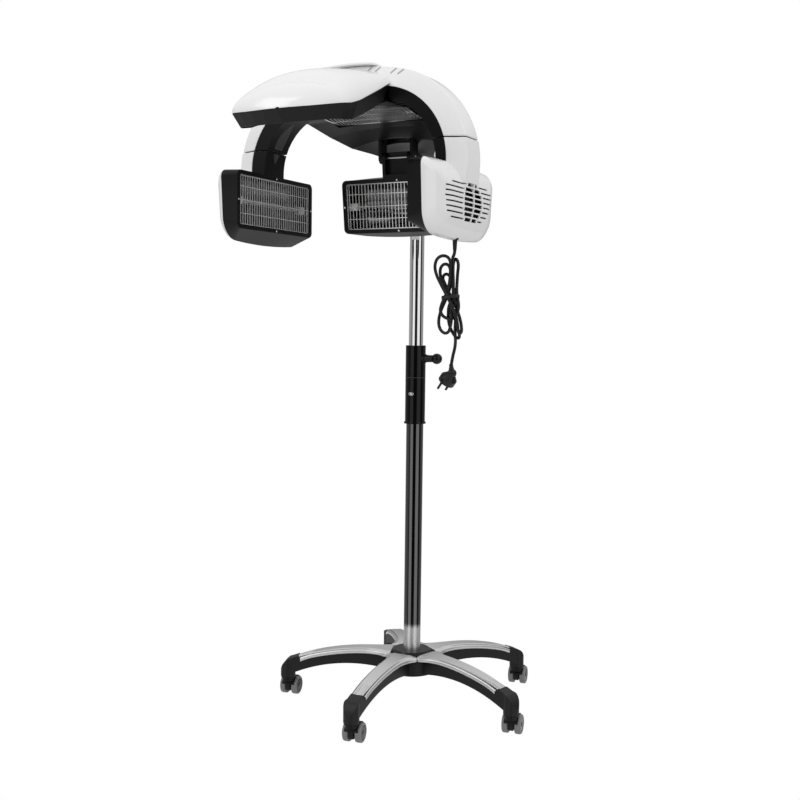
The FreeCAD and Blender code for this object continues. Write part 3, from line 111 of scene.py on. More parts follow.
def make_world():
    world = bpy.data.worlds.new("studio")
    bpy.context.scene.world = world
    world.use_nodes = True
    tree = world.node_tree
    tree.nodes.clear()
    ray = tree.nodes.new("ShaderNodeNewGeometry").outputs["Incoming"]

    def along(x, y, z):
        node = tree.nodes.new("ShaderNodeVectorMath")
        node.operation = "DOT_PRODUCT"
        link(tree, ray, node.inputs[0])
        node.inputs[1].default_value = (-x, -y, -z)
        return node.outputs["Value"]

    right = along(math.cos(CAMERA_TURN), math.sin(CAMERA_TURN), 0.0)
    near = along(math.sin(CAMERA_TURN), -math.cos(CAMERA_TURN), 0.0)
    up = along(0.0, 0.0, 1.0)
    angle = math_node(tree, "ARCTAN2", right, near)
    where = math_node(tree, "MULTIPLY_ADD", angle, 0.5 / math.pi, 0.5)
    bands = ramp(tree, where, [((a + 180.0) / 360.0, level) for a, level in STUDIO_BANDS])
    height = math_node(tree, "MULTIPLY_ADD", up, 0.5, 0.5)
    ceiling = ramp(tree, height, STUDIO_HEIGHTS)
    mirrored = math_node(tree, "MAXIMUM", bands, ceiling)
    paths = tree.nodes.new("ShaderNodeLightPath")
    soft = tree.nodes.new("ShaderNodeBackground")
    soft.inputs["Strength"].default_value = 0.84
    sharp = tree.nodes.new("ShaderNodeBackground")
    link(tree, mirrored, sharp.inputs["Color"])
    sharp.inputs["Strength"].default_value = 1.0
    white = tree.nodes.new("ShaderNodeBackground")
    white.inputs["Color"].default_value = (1, 1, 1, 1)
    white.inputs["Strength"].default_value = 1.0
    soft.inputs["Color"].default_value = (1, 1, 1, 1)
    mix_gloss = tree.nodes.new("ShaderNodeMixShader")
    link(tree, paths.outputs["Is Glossy Ray"], mix_gloss.inputs[0])
    link(tree, soft.outputs[0], mix_gloss.inputs[1])
    link(tree, sharp.outputs[0], mix_gloss.inputs[2])
    mix_camera = tree.nodes.new("ShaderNodeMixShader")
    seen = math_node(tree, "MAXIMUM", paths.outputs["Is Camera Ray"], paths.outputs["Is Transmission Ray"])
    link(tree, seen, mix_camera.inputs[0])
    link(tree, mix_gloss.outputs[0], mix_camera.inputs[1])
    link(tree, white.outputs[0], mix_camera.inputs[2])
    out = tree.nodes.new("ShaderNodeOutputWorld")
    link(tree, mix_camera.outputs[0], out.inputs["Surface"])


def make_floor():
    """Flat pale floor that the camera sees as plain white and that polished metal doesn't see."""
    half = 14.0
    mesh = bpy.data.meshes.new("floor")
    corners = [(-half, -half, 0), (half, -half, 0), (half, half, 0), (-half, half, 0)]
    mesh.from_pydata(corners, [], [(0, 1, 2, 3)])
    floor = bpy.data.objects.new("floor", mesh)
    bpy.context.scene.collection.objects.link(floor)
    pale = bpy.data.materials.new("pale floor")
    pale.use_nodes = True
    tree = pale.node_tree
    tree.nodes.clear()
    paths = tree.nodes.new("ShaderNodeLightPath")
    glow = tree.nodes.new("ShaderNodeEmission")
    glow.inputs["Color"].default_value = (1, 1, 1, 1)
    glow.inputs["Strength"].default_value = 1.0
    matt = tree.nodes.new("ShaderNodeBsdfDiffuse")
    matt.inputs["Color"].default_value = (0.62, 0.62, 0.62, 1)
    mix = tree.nodes.new("ShaderNodeMixShader")
    seen = math_node(tree, "MAXIMUM", paths.outputs["Is Camera Ray"], paths.outputs["Is Transmission Ray"])
    link(tree, seen, mix.inputs[0])
    link(tree, matt.outputs[0], mix.inputs[1])
    link(tree, glow.outputs[0], mix.inputs[2])
    out = tree.nodes.new("ShaderNodeOutputMaterial")
    link(tree, mix.outputs[0], out.inputs["Surface"])
    mesh.materials.append(pale)
    floor.visible_glossy = False


def make_light(name, place, aim, size, watts):
    data = bpy.data.lights.new(name, "AREA")
    data.shape = "RECTANGLE"
    data.size, data.size_y = size
    data.energy = watts
    lamp = bpy.data.objects.new(name, data)
    bpy.context.scene.collection.objects.link(lamp)
    lamp.location = place
    lamp.rotation_mode = "QUATERNION"
    lamp.rotation_quaternion = (Vector(aim) - Vector(place)).to_track_quat("-Z", "Y")
    lamp.visible_camera = False


make_camera()
make_world()
make_floor()
make_light("key", (-2.2, -2.6, 3.4), (0, -0.2, 1.0), (1.8, 1.8), 24.0)
make_light("fill", (3.0, -1.2, 2.4), (0, -0.2, 1.0), (1.6, 2.2), 8.0)
bpy.context.scene.view_settings.view_transform = "Standard"


# ------------------------------------------------------------------- finishes

def finish_of(name, color, rough, metal=0.0, coat=0.0, grain=0.0, scale=900.0, edge=0.0, specular=0.5):
    """Plain finish with a fine grain in the height and the roughness, and softened edges."""
    made = bpy.data.materials.new(name)
    made.use_nodes = True
    tree = made.node_tree
    shader = tree.nodes["Principled BSDF"]
    shader.inputs["Base Color"].default_value = (*color, 1.0)
    shader.inputs["Metallic"].default_value = metal
    shader.inputs["Coat Weight"].default_value = coat
    shader.inputs["Coat Roughness"].default_value = 0.04
    shader.inputs["Specular IOR Level"].default_value = specular
    place = tree.nodes.new("ShaderNodeTexCoord").outputs["Object"]
    noise = tree.nodes.new("ShaderNodeTexNoise")
    noise.inputs["Scale"].default_value = scale
    noise.inputs["Detail"].default_value = 2.0
    link(tree, place, noise.inputs["Vector"])
    spread = tree.nodes.new("ShaderNodeMapRange")
    spread.inputs["To Min"].default_value = max(rough - 0.03, 0.0)
    spread.inputs["To Max"].default_value = rough + 0.03
    link(tree, noise.outputs[0], spread.inputs["Value"])
    link(tree, spread.outputs[0], shader.inputs["Roughness"])
    normal = None
    if edge:
        bevel = tree.nodes.new("ShaderNodeBevel")
        bevel.samples = 6
        bevel.inputs["Radius"].default_value = edge / 1000.0
        normal = bevel.outputs[0]
    if grain:
        bump = tree.nodes.new("ShaderNodeBump")
        bump.inputs["Strength"].default_value = grain
        bump.inputs["Distance"].default_value = 0.0004
        link(tree, noise.outputs[0], bump.inputs["Height"])
        if normal:
            link(tree, normal, bump.inputs["Normal"])
        normal = bump.outputs[0]
    if normal:
        link(tree, normal, shader.inputs["Normal"])
    return made


WHITE = finish_of("white gloss moulding", (0.90, 0.90, 0.90), 0.2, coat=0.25, scale=60.0, edge=1.6)
WHITE_SKIN = finish_of("white gloss skin", (0.90, 0.90, 0.90), 0.2, coat=0.25, scale=60.0)
BLACK = finish_of("black satin moulding", (0.004, 0.004, 0.0045), 0.4, grain=0.05, scale=1400.0,
                  edge=1.4, specular=0.22)
BLACK_TEXTURED = finish_of("black textured casting", (0.006, 0.006, 0.0065), 0.45, grain=0.35,
                           scale=700.0, edge=1.6, specular=0.3)
BLACK_GLOSS = finish_of("black gloss tube cover", (0.003, 0.003, 0.0035), 0.16, scale=300.0,
                        edge=0.5, specular=0.25)
CHROME = finish_of("polished chrome", (0.80, 0.80, 0.81), 0.06, metal=1.0, scale=200.0)
COVER = finish_of("bright cover sheet", (0.60, 0.60, 0.60), 0.34, metal=0.85, grain=0.04, scale=900.0)
STEEL = finish_of("plain steel", (0.5, 0.5, 0.51), 0.35, metal=1.0, scale=600.0, edge=0.6)
WIRE = finish_of("bright wire", (0.9, 0.9, 0.9), 0.2, metal=0.45, scale=600.0)
# darker copy of the bright wire for the grille in the hood's ceiling: painted shade
WIRE_SHADED = finish_of("wire in painted shade", (0.5, 0.5, 0.5), 0.25, metal=0.9, scale=600.0)
# polished reflector given a very dark colour: painted shade inside the lamp pods
REFLECTOR_PAINTED_DARK = finish_of("polished reflector darkened as painted shade", (0.11, 0.11, 0.112), 0.1, metal=1.0, grain=0.45, scale=70.0)
CERAMIC = finish_of("white ceramic", (0.78, 0.77, 0.74), 0.5, scale=500.0, edge=0.8)
FILAMENT = finish_of("heating coil", (0.62, 0.6, 0.58), 0.45, metal=0.5, scale=900.0)
RUBBER = finish_of("black cord sheath", (0.004, 0.004, 0.0045), 0.36, grain=0.05, scale=1600.0, specular=0.35)
TREAD = finish_of("grey tread", (0.20, 0.20, 0.205), 0.38, grain=0.05, scale=900.0)
SLOT_GREY = finish_of("slot lining", (0.055, 0.055, 0.056), 0.5, scale=900.0, specular=0.3)
# grey for the crown vent slots: painted shade
VENT_SHADE_GREY = finish_of("painted vent shade", (0.42, 0.42, 0.42), 0.4, scale=900.0)
BOARD = finish_of("circuit board", (0.03, 0.14, 0.06), 0.4, scale=500.0, edge=0.3)


def quartz_finish():
    made = bpy.data.materials.new("clear quartz")
    made.use_nodes = True
    tree = made.node_tree
    shader = tree.nodes["Principled BSDF"]
    shader.inputs["Base Color"].default_value = (0.93, 0.93, 0.93, 1)
    shader.inputs["Transmission Weight"].default_value = 1.0
    shader.inputs["IOR"].default_value = 1.2
    place = tree.nodes.new("ShaderNodeTexCoord").outputs["Object"]
    noise = tree.nodes.new("ShaderNodeTexNoise")
    noise.inputs["Scale"].default_value = 120.0
    link(tree, place, noise.inputs["Vector"])
    spread = tree.nodes.new("ShaderNodeMapRange")
    spread.inputs["To Min"].default_value = 0.02
    spread.inputs["To Max"].default_value = 0.12
    link(tree, noise.outputs[0], spread.inputs["Value"])
    link(tree, spread.outputs[0], shader.inputs["Roughness"])
    return made


QUARTZ = quartz_finish()


def tube_finish_painted_foot_reflection():
    """Dark polished tube whose colour and roughness turn brighter and softer toward its foot, by height: a
    painted reflection at the foot.
    """
    made = finish_of("polished lower tube with painted reflection at foot", (0.16, 0.16, 0.165), 0.08, metal=1.0, scale=200.0)
    tree = made.node_tree
    shader = tree.nodes["Principled BSDF"]
    place = tree.nodes.new("ShaderNodeTexCoord").outputs["Object"]
    split = tree.nodes.new("ShaderNodeSeparateXYZ")
    link(tree, place, split.inputs[0])
    level = math_node(tree, "MULTIPLY", split.outputs["Z"], 4.0)
    # painted reflection: base colour lighter and roughness higher below about 175 mm
    link(tree, ramp(tree, level, [(0.70, 0.68), (0.76, 0.13)], smooth=True), shader.inputs["Base Color"])
    link(tree, ramp(tree, level, [(0.70, 0.34), (0.76, 0.09)], smooth=True), shader.inputs["Roughness"])
    return made


LOWER_TUBE_PAINTED_REFLECTION = tube_finish_painted_foot_reflection()

NODE_FINISH = {
    "star_base": (BLACK_TEXTURED, "frame_black"),
    "base_bolt": (BLACK_TEXTURED, "frame_black"),
    "leg_covers": (COVER, "cover_grey"),
    "hub_cap": (BLACK_GLOSS, "black_plastic"),
    "lower_tube": (LOWER_TUBE_PAINTED_REFLECTION, "chrome_tube"),
    "upper_tube": (CHROME, "chrome_tube"),
    "clamp_sleeve": (BLACK_GLOSS, "black_plastic"),
    "clamp_knob": (BLACK_GLOSS, "black_plastic"),
    "sleeve_bush": (BLACK, "black_plastic"),
    "tube_glide": (BLACK, "black_plastic"),
    "head_frame": (BLACK, "frame_black"),
    "pivot_pins": (STEEL, "steel"),
    "control_board": (BOARD, "board_green"),
    "top_grille": (WIRE_SHADED, "wire_chrome"),
    "strain_relief": (RUBBER, "cord_black"),
    "plug": (RUBBER, "cord_black"),
}
ENDINGS = {
    "_casing": (WHITE, "white_shell"),
    "_shell": (WHITE, "white_shell"),
    "_pad": (WHITE, "white_shell"),
    "_bezel": (BLACK, "black_liner"),
    "_liner": (BLACK, "black_liner"),
    "_rim": (BLACK, "black_liner"),
    "_grille": (WIRE, "wire_chrome"),
    "_reflector": (REFLECTOR_PAINTED_DARK, "polished"),
    "_fan_frame": (BLACK, "fan_black"),
    "_fan_rotor": (BLACK, "fan_black"),
    "_heater": (CERAMIC, "quartz"),
    "_heaters": (CERAMIC, "quartz"),
}


def dress_node(name, node):
    found = NODE_FINISH.get(name)
    if found is None and name.startswith("caster_fork"):
        found = (BLACK, "black_plastic")
    if found is None and name.startswith("caster_wheels"):
        found = (TREAD, "tread_grey")
    if found is None and name.startswith("arch_"):
        found = (WHITE, "white_shell") if "shell" in name else (BLACK, "black_liner")
    if found is None and name.startswith("cord_"):
        found = (RUBBER, "cord_black")
    for ending, pair in ENDINGS.items():
        if found is None and name.endswith(ending):
            found = pair
    node.data.materials.clear()
    node.data.materials.append(found[0])


for node_name, node_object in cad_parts.items():
    dress_node(node_name, node_object)


# ------------------------------------------------------------- surface tools

def finish_piece(piece, body, look):
    piece.data.materials.append(look)
    if piece.type == "MESH":
        piece.data.polygons.foreach_set("use_smooth", [True] * len(piece.data.polygons))
    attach(piece, body)
    return piece


def grid_faces(rows, columns, wrap_rows, wrap_columns):
    index = np.arange(rows * columns).reshape(rows, columns)
    if wrap_rows:
        index = np.vstack([index, index[:1]])
    if wrap_columns:
        index = np.hstack([index, index[:, :1]])
    corners = [index[:-1, :-1], index[1:, :-1], index[1:, 1:], index[:-1, 1:]]
    return np.stack(corners, axis=-1).reshape(-1, 4)


def closed_faces(points, wrap_rows, wrap_columns, caps):
    """Faces over a grid of points, with or without end caps, all turned to face outward."""
    rows, columns = points.shape[:2]
    quads = grid_faces(rows, columns, wrap_rows, wrap_columns)
    ends = [np.arange(columns), np.arange((rows - 1) * columns, rows * columns)[::-1]] if caps else []
    flat = points.reshape(-1, 3) - points.reshape(-1, 3).mean(axis=0)
    a, b, c, d = (flat[quads[:, k]] for k in range(4))
    volume = np.sum(a * np.cross(b, c)) + np.sum(a * np.cross(c, d))
    for end in ends:
        ring = flat[end]
        volume += np.sum(ring[0] * np.cross(ring[1:-1], ring[2:]))
    step = 1 if volume > 0 else -1
    return quads[:, ::step].tolist() + [end[::step].tolist() for end in ends]


def mesh_piece(name, corners, faces, body, look):
    mesh = bpy.data.meshes.new(name)
    mesh.from_pydata((corners / 1000.0).tolist(), [], faces)
    mesh.update()
    piece = bpy.data.objects.new(name, mesh)
    bpy.context.scene.collection.objects.link(piece)
    return finish_piece(piece, body, look)


def surface(name, points, body, look, wrap_rows=False, wrap_columns=False, caps=False):
    """Mesh over a grid of points[row, column] in millimetres; caps close the first and last row."""
    faces = closed_faces(points, wrap_rows, wrap_columns, caps)
    return mesh_piece(name, points.reshape(-1, 3), faces, body, look)


def line_inside(piece, steps, look):
    """Give the inner side of a skin, the second run of steps points in each row, a finish of its own."""
    piece.data.materials.append(look)
    column = np.arange(len(piece.data.polygons)) % (2 * steps)
    piece.data.polygons.foreach_set("material_index", (column >= steps - 1).astype(np.int32))


def joined(name, grids, body, look):
    """One mesh from several grids, each a tube of points closed around its columns and at both ends."""
    verts, faces = [], []
    start = 0
    for points in grids:
        faces += [[corner + start for corner in face] for face in closed_faces(points, False, True, True)]
        verts.append(points.reshape(-1, 3))
        start += points.shape[0] * points.shape[1]
    return mesh_piece(name, np.concatenate(verts), faces, body, look)


def edged(profile, margin=0.4):
    """Profile with a point just inside both ends of its long sides, so that only the corners shade round."""
    rows = [profile[0]]
    for start, end in zip(profile[:-1], profile[1:]):
        reach = end - start
        long = np.linalg.norm(reach)
        if long > 8 * margin:
            rows += [start + reach * margin / long, end - reach * margin / long]
        rows.append(end)
    return np.array(rows)


def lathe_grid(profile, foot, axis, sides=64):
    """Profile of (height, radius) pairs turned about a line: foot + height*axis + radius*(cos, sin)."""
    profile = edged(np.asarray(profile, float))
    axis = np.asarray(axis, float) / np.linalg.norm(axis)
    helper = np.array([1.0, 0, 0]) if abs(axis[0]) < 0.9 else np.array([0, 1.0, 0])
    u = np.cross(axis, helper)
    u /= np.linalg.norm(u)
    v = np.cross(axis, u)
    t = np.linspace(0, 2 * np.pi, sides, endpoint=False)
    ring = np.cos(t)[:, None] * u + np.sin(t)[:, None] * v
    return (np.asarray(foot, float) + profile[:, :1, None] * axis
            + profile[:, 1:2, None] * ring[None, :, :])


def lathe(name, profile, foot, axis, body, look, sides=64):
    return joined(name, [lathe_grid(profile, foot, axis, sides)], body, look)


def smooth_line(x, xs, ys):
    """Piecewise cubic through (xs, ys) with limited slopes, so that it never overshoots."""
    xs, ys = np.asarray(xs, float), np.asarray(ys, float)
    h, d = np.diff(xs), np.diff(ys) / np.diff(xs)
    slope = np.zeros_like(ys)
    same = d[:-1] * d[1:] > 0
    w1, w2 = 2 * h[1:] + h[:-1], h[1:] + 2 * h[:-1]
    with np.errstate(divide="ignore", invalid="ignore"):
        mean = (w1 + w2) / (w1 / d[:-1] + w2 / d[1:])
    slope[1:-1] = np.where(same, mean, 0.0)
    slope[0], slope[-1] = d[0], d[-1]
    i = np.clip(np.searchsorted(xs, x) - 1, 0, len(xs) - 2)
    t = (x - xs[i]) / h[i]
    return (ys[i] * (1 + 2 * t) * (1 - t) ** 2 + slope[i] * h[i] * t * (1 - t) ** 2
            + ys[i + 1] * t * t * (3 - 2 * t) + slope[i + 1] * h[i] * t * t * (t - 1))


def rounded(corners, radii, steps=5):
    """Closed polygon with each corner replaced by an arc of its radius, as far as the sides allow."""
    corners = np.asarray(corners, float)
    count = len(corners)
    out = []
    for i in range(count):
        p, a, b = corners[i], corners[i - 1], corners[(i + 1) % count]
        da, db = a - p, b - p
        la, lb = np.linalg.norm(da), np.linalg.norm(db)
        da, db = da / la, db / lb
        half = math.acos(float(np.clip(da @ db, -1, 1))) / 2
        cut = min(radii[i] / max(math.tan(half), 1e-6), 0.45 * la, 0.45 * lb)
        start, end = p + da * cut, p + db * cut
        t = np.linspace(0, 1, steps)[:, None]
        out.append((1 - t) ** 2 * start + 2 * t * (1 - t) * p + t ** 2 * end)
    return np.concatenate(out)


# ------------------------------------------------------------------ mains cord

CORD_D = 6.2
CORD_ROUTE = [
    (224.0, -279.0, 1011.0), (223.6, -279.0, 1003.0), (219.4, -279.0, 997.0), (221.5, -280.2, 984.1),
    (222.1, -281.3, 966.7), (224.0, -282.4, 947.5), (222.8, -281.5, 928.0), (225.4, -278.3, 908.7),
    (231.4, -274.1, 889.9), (236.2, -272.8, 874.1), (239.4, -275.4, 861.1), (240.5, -278.0, 854.1),
    (238.2, -280.6, 850.2), (235.7, -283.3, 854.0), (235.5, -286.0, 870.6), (232.2, -288.7, 886.5),
    (226.2, -291.4, 902.4), (217.8, -294.0, 919.8), (209.0, -294.0, 934.8), (199.7, -293.4, 949.7),
    (192.3, -292.8, 963.2), (187.8, -292.2, 977.7), (190.1, -291.6, 991.4), (198.1, -290.9, 999.3),
    (208.8, -290.3, 1000.3), (217.1, -289.7, 995.5), (220.6, -289.1, 986.6), (219.9, -288.5, 969.6),
    (218.8, -287.9, 950.5), (214.1, -287.2, 933.1), (206.9, -286.2, 919.4), (200.2, -284.8, 906.4),
    (196.4, -283.4, 894.5), (200.8, -282.0, 885.1), (210.5, -280.6, 879.4), (221.5, -279.2, 879.4),
    (229.6, -281.0, 884.5), (234.2, -281.9, 893.5), (234.4, -279.1, 904.8), (230.9, -276.6, 917.6),
    (227.2, -274.8, 931.8), (227.5, -273.7, 949.3), (227.8, -272.9, 966.3), (229.3, -272.1, 981.3),
    (227.0, -271.4, 991.5), (221.9, -270.8, 995.4), (218.3, -270.2, 991.2), (215.6, -269.7, 975.0),
    (214.0, -270.8, 954.3), (210.8, -272.0, 935.0), (203.2, -272.8, 915.6), (195.9, -274.6, 899.5),
    (191.3, -276.4, 883.3), (191.1, -278.2, 868.3), (196.5, -280.1, 857.1), (205.8, -281.9, 850.7),
    (215.0, -283.7, 852.5), (219.7, -285.6, 860.9), (223.4, -287.4, 877.0), (222.0, -285.9, 896.2),
    (216.5, -281.2, 915.5), (208.7, -279.0, 933.2), (199.0, -278.8, 948.4), (193.4, -278.6, 963.2),
    (192.9, -278.4, 975.7), (198.5, -278.2, 984.0), (206.9, -278.0, 985.1), (213.7, -277.8, 979.6),
    (216.5, -277.5, 963.5), (220.1, -275.7, 944.2), (220.6, -274.4, 921.8), (210.6, -274.1, 904.5),
    (208.5, -272.0, 888.2), (208.8, -269.8, 872.1), (213.3, -267.7, 857.6), (220.1, -265.5, 846.3),
    (228.2, -266.0, 840.7), (232.7, -268.2, 845.6), (228.9, -270.4, 861.0), (222.7, -272.0, 880.3),
    (217.2, -269.7, 899.6), (214.2, -265.3, 917.1), (204.9, -265.0, 933.6), (197.2, -264.8, 947.4),
    (191.4, -264.6, 959.4), (196.6, -264.4, 966.4), (204.6, -264.2, 965.6), (209.5, -264.0, 958.2),
    (214.6, -264.0, 941.5), (220.4, -264.0, 922.4), (222.7, -264.0, 903.0), (221.6, -264.0, 883.6),
    (221.0, -266.2, 864.1), (224.2, -272.0, 848.5), (227.2, -275.5, 835.3), (227.0, -279.0, 820.8),
    (222.9, -279.0, 806.0), (220.4, -279.0, 791.0),
]


def make_cord():
    data = bpy.data.curves.new("mains cord", "CURVE")
    data.dimensions = "3D"
    line = data.splines.new("NURBS")
    line.points.add(len(CORD_ROUTE) - 1)
    for point, (x, y, z) in zip(line.points, CORD_ROUTE):
        point.co = (x / 1000.0, y / 1000.0, z / 1000.0, 1.0)
    line.order_u = 3
    line.use_endpoint_u = True
    line.resolution_u = 8
    data.bevel_depth = CORD_D / 2000.0
    data.bevel_resolution = 4
    data.use_fill_caps = True
    cord = bpy.data.objects.new("mains_cord", data)
    bpy.context.scene.collection.objects.link(cord)
    finish_piece(cord, "right_lamp", RUBBER)
    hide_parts("cord_lead", "cord_hank", "cord_tail")
    tie = make_tie()


TIE_CENTRE = (216.5, -279.0, 921.0)
TIE_HALF_X, TIE_HALF_Y, TIE_HALF_HIGH, TIE_THICK, TIE_SLANT = 16.0, 19.0, 3.2, 1.2, 2.0


def make_tie():
    """Flat strip round the waist of the hank: x = a cos(t)^0.8, y = b sin(t)^0.8, a little slanted."""
    t = np.linspace(0, 2 * np.pi, 72, endpoint=False)
    c, s = np.cos(t), np.sin(t)
    rows = []
    for inset, z in ((0.0, -TIE_HALF_HIGH), (0.0, TIE_HALF_HIGH), (TIE_THICK, TIE_HALF_HIGH),
                     (TIE_THICK, -TIE_HALF_HIGH)):
        x = TIE_CENTRE[0] + (TIE_HALF_X - inset) * np.sign(c) * np.abs(c) ** 0.8
        y = TIE_CENTRE[1] + (TIE_HALF_Y - inset) * np.sign(s) * np.abs(s) ** 0.8
        rows.append(np.stack([x, y, TIE_CENTRE[2] + z + TIE_SLANT * c], -1))
    return surface("cord_tie", np.array(rows), "right_lamp", RUBBER, wrap_rows=True,
                   wrap_columns=True)


make_cord()


# ------------------------------------------------------------- canopy and hood

# stations along y: (y, half width, height of the foot, height of the crown)
DOME = np.array([
    (-555.6, 4.0, 1249.0, 1251.0), (-555.0, 18.0, 1249.2, 1253.0), (-552.0, 36.0, 1249.6, 1262.0),
    (-546.0, 67.0, 1250.4, 1274.5), (-538.0, 97.0, 1252.0, 1286.0), (-527.0, 120.0, 1254.0, 1297.5),
    (-510.0, 124.5, 1257.0, 1312.0), (-480.0, 123.5, 1266.0, 1330.0), (-436.0, 118.0, 1283.0, 1342.5),
    (-380.0, 109.0, 1305.0, 1353.0), (-324.0, 100.0, 1328.0, 1361.5), (-297.0, 95.5, 1338.0, 1364.4),
])
HOOD = np.array([
    (-248.0, 171.6, 1301.0, 1364.0), (-200.0, 161.0, 1295.0, 1366.0), (-150.0, 138.0, 1273.0, 1364.0),
    (-110.0, 106.0, 1253.0, 1358.0), (-70.0, 75.0, 1244.0, 1353.0), (-35.0, 54.0, 1236.0, 1349.0),
    (0.0, 46.0, 1229.0, 1345.0), (34.0, 38.0, 1229.0, 1338.0),
])
DOME_POWER, DOME_STEPS = 2.1, 161
HOOD_POWER, HOOD_STEPS = 2.3, 121
SHELL_WALL = 3.0
CREASE_Y = -526.0
RIDGES = 7
RIDGE_PITCH = 4.6


def arched_rows(table, ys, power, inset, steps):
    """x = a cos(t)^(2/p), z = foot + h sin(t)^(2/p), with a, foot and h read off the table along y."""
    a = smooth_line(ys, table[:, 0], table[:, 1])[:, None] - inset
    foot = smooth_line(ys, table[:, 0], table[:, 2])[:, None]
    h = smooth_line(ys, table[:, 0], table[:, 3])[:, None] - foot - inset
    t = np.linspace(0, np.pi, steps)
    t = t - 0.18 * np.sin(4 * t) / 2
    c, s = np.cos(t)[None, :], np.sin(t)[None, :]
    x = a * np.sign(c) * np.abs(c) ** (2 / power)
    z = foot + h * np.abs(s) ** (2 / power)
    return np.stack([x, np.repeat(ys[:, None], len(t), 1), z], -1)


def shell_grid(outer, inner):
    """Outer rows and the inner rows turned back, so that the section closes along its foot."""
    return np.concatenate([outer, inner[:, ::-1]], axis=1)


def make_canopy():
    """Canopy skin with a crease behind the front face and fine ridges behind the crease."""
    front = -555.6 + 3.6 * np.linspace(0, 1, 12) ** 2
    ys = np.concatenate([front, np.linspace(-551.5, -531, 20), np.arange(-530, -488, 0.65),
                         np.linspace(-487, -297, 70)])
    outer = arched_rows(DOME, ys, DOME_POWER, 0.0, DOME_STEPS)
    x, y, z = outer[..., 0], outer[..., 1], outer[..., 2]
    behind = y - CREASE_Y
    side = np.clip((104.0 - np.abs(x)) / 26.0, 0, 1)
    side = side * side * (3 - 2 * side)
    step = np.clip(behind / 2.2, 0, 1)
    fade = np.clip(1 - (behind - 2.0) / 60.0, 0, 1)
    lift = -0.9 * (1 - step * step * (3 - 2 * step)) * np.clip(1 + behind / 9.0, 0, 1)
    lift = lift * side
    groove = np.zeros_like(y)
    for k in range(RIDGES):
        at = CREASE_Y + 5.0 + k * RIDGE_PITCH
        groove += np.exp(-((y - at) / 0.9) ** 2)
    reach = np.clip((x + 66.0) / 40.0, 0, 1) * np.clip((96.0 - x) / 12.0, 0, 1)
    lift = lift - 0.55 * groove * reach * fade
    du = np.gradient(outer, axis=0)
    dv = np.gradient(outer, axis=1)
    normal = np.cross(dv, du)
    length = np.linalg.norm(normal, axis=-1, keepdims=True)
    normal = normal / np.maximum(length, 1e-9)
    up = np.sign(np.sum(normal[..., 2:], axis=(0, 1)))
    outer = outer + normal * up * lift[..., None]
    inner = arched_rows(DOME, np.maximum(ys, -552.4), DOME_POWER, SHELL_WALL, DOME_STEPS)
    skin = surface("canopy_skin", shell_grid(outer, inner), "head", WHITE_SKIN,
                   wrap_columns=True, caps=True)
    line_inside(skin, DOME_STEPS, BLACK)
    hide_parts("canopy_shell")


def make_hood():
    ys = np.linspace(-248.0, 34.0, 110)
    outer = arched_rows(HOOD, ys, HOOD_POWER, 0.0, HOOD_STEPS)
    inner = arched_rows(HOOD, np.minimum(ys, 31.0), HOOD_POWER, SHELL_WALL, HOOD_STEPS)
    skin = surface("hood_skin", shell_grid(outer, inner), "head", WHITE_SKIN,
                   wrap_columns=True, caps=True)
    line_inside(skin, HOOD_STEPS, BLACK)
    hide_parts("hood_shell")


# ------------------------------------------------------------------------ arch

SIDE_X, SPRING_Z, SIDE_R = 75.4, 1180.0, 185.6
CROWN_R = (261.0 ** 2 + 193.0 ** 2 - 2 * 261.0 * SIDE_R) / (2 * (193.0 - SIDE_R))
CROWN_Z = SPRING_Z + 193.0 - CROWN_R
SHOULDER = math.atan2(SPRING_Z - CROWN_Z, SIDE_X)
HEAD_Y = -277.0


def arch_grid(section, z_low, x_end, side_steps=64, crown_steps=26):
    """Sweep (depth, half width) points up the side arc from a level cut and along the crown arc."""
    depth = section[:, 0][None, :]
    width = section[:, 1][None, :]
    low = np.arcsin(np.clip((z_low - SPRING_Z) / (SIDE_R - depth), -1, 1))
    s = np.linspace(0, 1, side_steps)[:, None]
    a = low + (SHOULDER - low) * s
    side = np.stack([SIDE_X + (SIDE_R - depth) * np.cos(a), HEAD_Y + width + 0 * a,
                     SPRING_Z + (SIDE_R - depth) * np.sin(a)], -1)
    high = np.arccos(x_end / (CROWN_R - depth))
    s = np.linspace(0, 1, crown_steps)[1:, None]
    a = SHOULDER + (high - SHOULDER) * s
    crown = np.stack([(CROWN_R - depth) * np.cos(a), HEAD_Y + width + 0 * a,
                      CROWN_Z + (CROWN_R - depth) * np.sin(a)], -1)
    return np.concatenate([side, crown])


def mirrored(points):
    return points * np.array([-1.0, 1.0, 1.0])


FLANGE_OUTER = np.array([(39.6, 43.0), (64.7, 34.7), (64.7, -34.7), (39.6, -43.0)])
FLANGE_INNER = np.array([(39.6, 36.0), (58.0, 29.0), (58.0, -29.0), (39.6, -36.0)])


def make_flange(side):
    """Inward flange at the foot of an arch liner: a strip 7 mm wide and 1.9 mm thick along its section."""
    low, high = 1222.1, 1224.0
    corners = []
    for ring, z in ((FLANGE_OUTER, low), (FLANGE_OUTER, high), (FLANGE_INNER, high), (FLANGE_INNER, low)):
        x = SIDE_X + np.sqrt((SIDE_R - ring[:, 0]) ** 2 - (z - SPRING_Z) ** 2)
        corners.append(np.stack([x, HEAD_Y + ring[:, 1], np.full(4, z)], -1))
    solid = np.array(corners).transpose(1, 0, 2)
    solid = solid if side == "right" else mirrored(solid)
    joined("arch_liner_flange_" + side, [solid], "head", BLACK)


